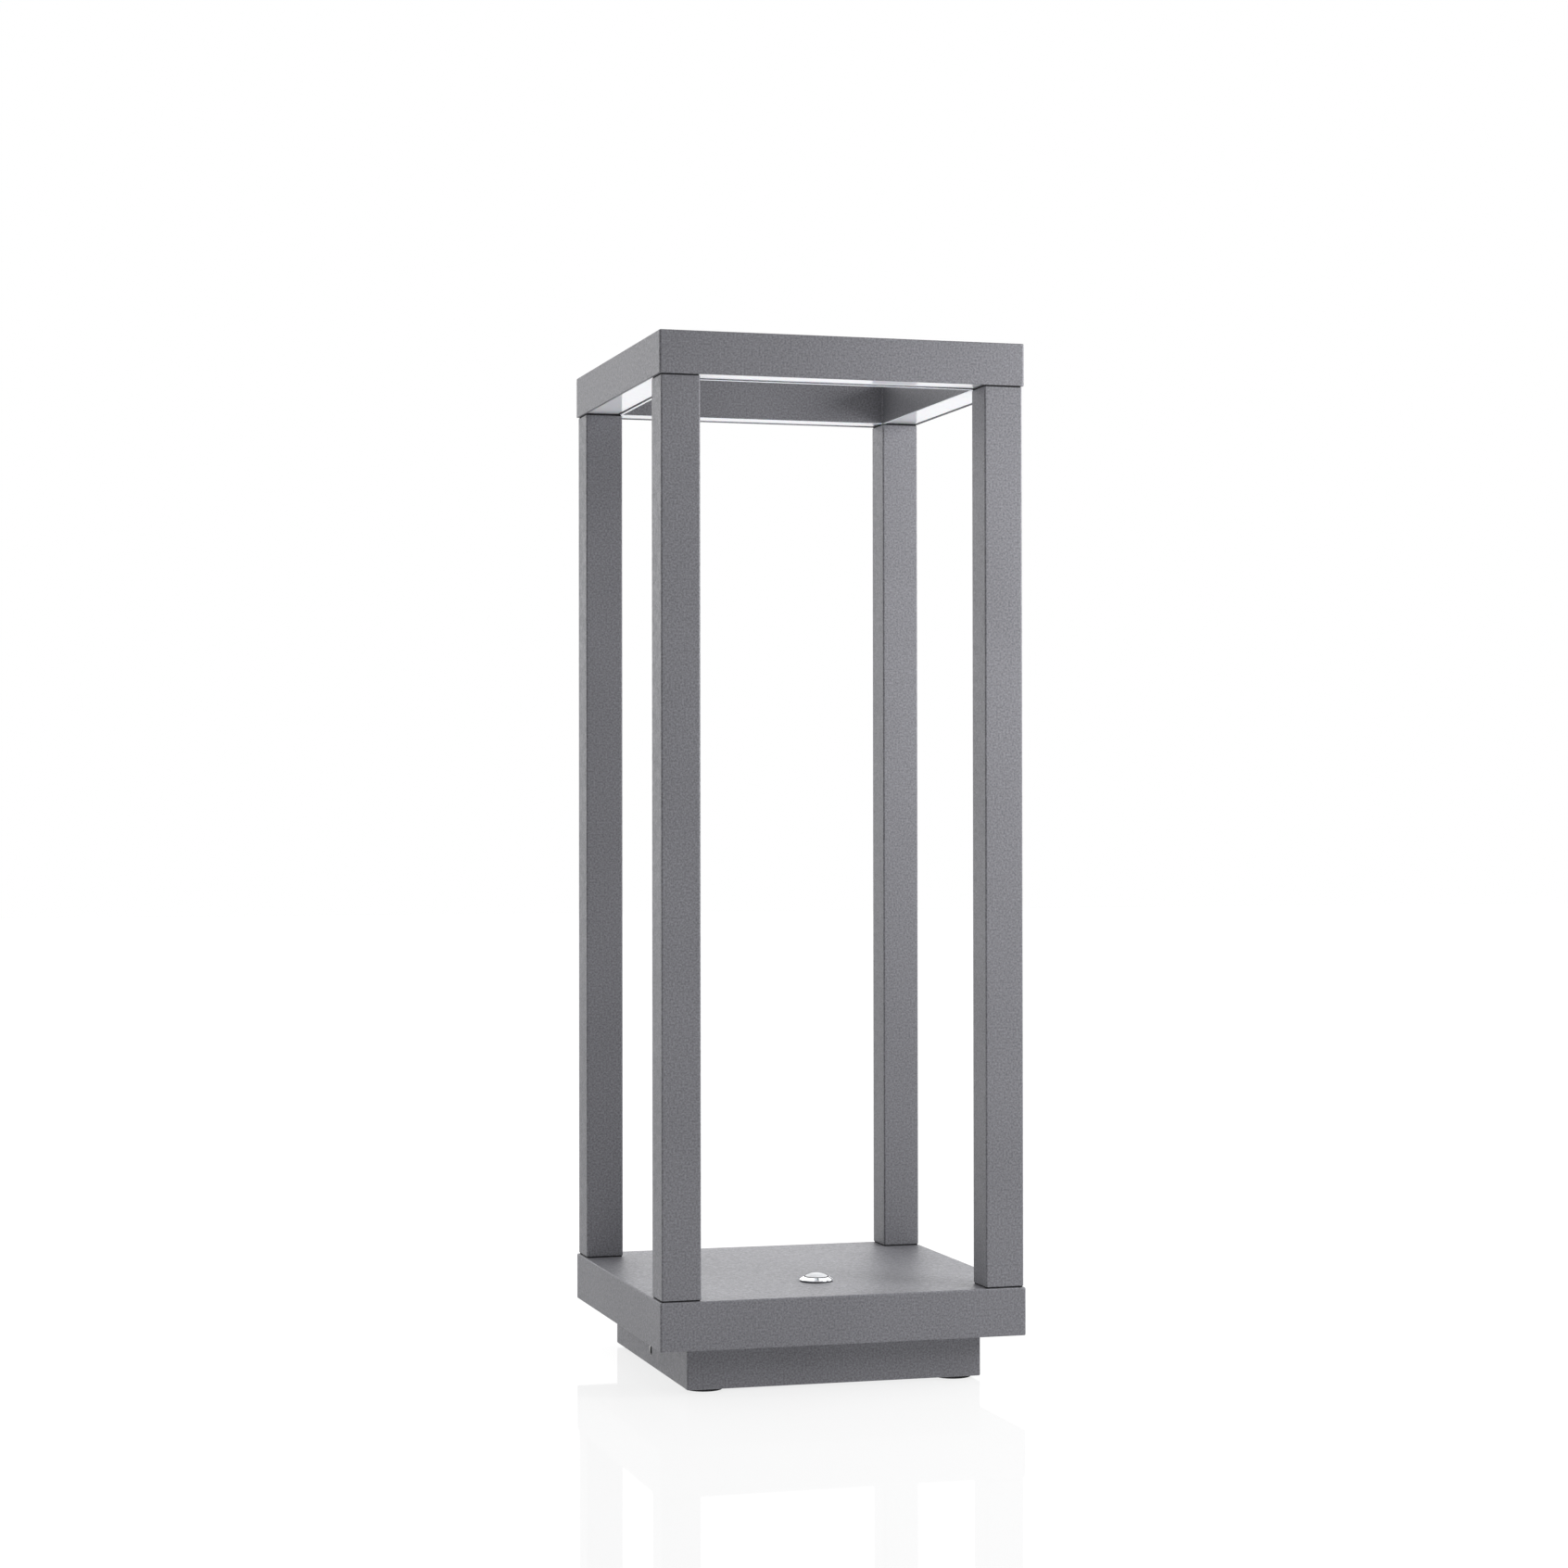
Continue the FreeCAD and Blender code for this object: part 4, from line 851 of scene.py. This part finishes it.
def make_spring():
    """Coil under the cap's collar."""
    low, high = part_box("button_spring")
    x, y = centre_of("button_spring")
    wire, turns, steps = 0.3 * MM, 5, 240
    mean = (high[0] - low[0]) / 2 - wire
    rise = high[2] - low[2] - 2 * wire

    def coil(bm):
        loops = []
        for step in range(steps + 1):
            angle = 2 * math.pi * turns * step / steps
            loop = []
            for reach, lift in circle_loop(wire, count=12):
                loop.append((x + (mean + reach) * math.cos(angle),
                             y + (mean + reach) * math.sin(angle),
                             low[2] + wire + rise * step / steps + lift))
            loops.append(loop)
        bridge(bm, loops)

    spring = solid("return_spring", coil)
    finish(spring, "zinc_steel", nodes=["button_spring"])
    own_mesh(spring)


# ------------------------------------------------------------------ studio

def make_camera():
    """Camera below the ring's height, looking level past the near corner."""
    data = bpy.data.cameras.new("camera")
    data.sensor_width = CAMERA_SENSOR
    data.lens = CAMERA_LENS
    data.clip_start, data.clip_end = 0.01, 50
    thing = bpy.data.objects.new("camera", data)
    bpy.context.scene.collection.objects.link(thing)
    yaw, pitch, roll = map(math.radians, (CAMERA_YAW, CAMERA_PITCH, CAMERA_ROLL))
    turn = (Matrix.Rotation(-yaw, 3, "Z") @ Matrix.Rotation(math.pi / 2 + pitch, 3, "X")
            @ Matrix.Rotation(roll, 3, "Z"))
    thing.rotation_euler = turn.to_euler()
    thing.location = CAMERA_PLACE
    bpy.context.scene.camera = thing


def make_floor():
    """Pale, faintly glossy studio floor, just under the feet."""
    reach, corner, base, top = 8, 1, -0.02, -0.00002
    floor = solid("studio_floor", lambda bm: prism(bm, square_loop(reach, corner), base, top))
    paint = bpy.data.materials.new("studio_floor_white")
    paint.use_nodes = True
    tree = paint.node_tree
    tree.nodes.clear()
    out = tree.nodes.new("ShaderNodeOutputMaterial")
    glow = tree.nodes.new("ShaderNodeEmission")
    glow.inputs["Strength"].default_value = 0.86
    matt = tree.nodes.new("ShaderNodeBsdfDiffuse")
    matt.inputs["Color"].default_value = (0.12, 0.12, 0.12, 1)
    both = tree.nodes.new("ShaderNodeAddShader")
    gloss = tree.nodes.new("ShaderNodeBsdfGlossy")
    gloss.inputs["Roughness"].default_value = 0.03
    gloss.inputs["Color"].default_value = (1, 1, 1, 1)
    blend = tree.nodes.new("ShaderNodeMixShader")
    blend.inputs[0].default_value = 0.07
    tree.links.new(glow.outputs[0], both.inputs[0])
    tree.links.new(matt.outputs[0], both.inputs[1])
    tree.links.new(both.outputs[0], blend.inputs[1])
    tree.links.new(gloss.outputs[0], blend.inputs[2])
    tree.links.new(blend.outputs[0], out.inputs["Surface"])
    floor.data.materials.append(paint)


def make_world():
    """White backdrop, with most of its light from behind and some from above."""
    world = bpy.data.worlds.new("studio")
    world.use_nodes = True
    tree = world.node_tree
    tree.nodes.clear()

    def join(operation, first, second):
        made = tree.nodes.new("ShaderNodeMath")
        made.operation = operation
        for socket, value in zip(made.inputs, (first, second)):
            if isinstance(value, (int, float)):
                socket.default_value = value
            else:
                tree.links.new(value, socket)
        return made.outputs[0]

    place = tree.nodes.new("ShaderNodeTexCoord")
    axes = tree.nodes.new("ShaderNodeSeparateXYZ")
    tree.links.new(place.outputs["Generated"], axes.inputs[0])
    total = 0.0
    for axis, sign, strength in WORLD_LOBES:
        side = join("MAXIMUM", join("MULTIPLY", axes.outputs[axis], sign), 0.0)
        total = join("ADD", join("MULTIPLY", join("MULTIPLY", side, side), strength), total)
    shine = tree.nodes.new("ShaderNodeBackground")
    tree.links.new(total, shine.inputs["Strength"])
    white = tree.nodes.new("ShaderNodeBackground")
    for backdrop in (shine, white):
        backdrop.inputs["Color"].default_value = (1, 1, 1, 1)
    seen = tree.nodes.new("ShaderNodeLightPath")
    blend = tree.nodes.new("ShaderNodeMixShader")
    out = tree.nodes.new("ShaderNodeOutputWorld")
    tree.links.new(seen.outputs["Is Camera Ray"], blend.inputs[0])
    tree.links.new(shine.outputs[0], blend.inputs[1])
    tree.links.new(white.outputs[0], blend.inputs[2])
    tree.links.new(blend.outputs[0], out.inputs["Surface"])
    bpy.context.scene.world = world


def soft_box(name, place, target, size, power):
    """Area light of the given size that faces the target."""
    data = bpy.data.lights.new(name, "AREA")
    data.shape = "RECTANGLE"
    data.size, data.size_y = size
    data.energy = power
    data.color = (1.0, 1.0, 1.0)
    thing = bpy.data.objects.new(name, data)
    thing.location = place
    thing.rotation_euler = (Vector(target) - Vector(place)).to_track_quat("-Z", "Y").to_euler()
    thing.visible_camera = False
    bpy.context.scene.collection.objects.link(thing)


def make_lights():
    """Soft boxes in front and on the right."""
    for name, (place, target, size, power) in SOFT_BOXES.items():
        soft_box(name, place, target, size, power)


make_camera()
powder_coat()
opal_diffuser()
black_rubber()
polished_chrome()
cap_chrome()
simple_finishes()
dress_cad_nodes()
make_ring()
make_strips()
make_posts()
make_slab()
make_plinth()
make_feet()
make_screws()
make_button()
make_spring()
make_floor()
make_world()
make_lights()

view = bpy.context.scene.view_settings
view.view_transform = "Standard"
view.look = "None"
view.exposure, view.gamma = 0.0, 1.0

bpy.context.view_layer.update()
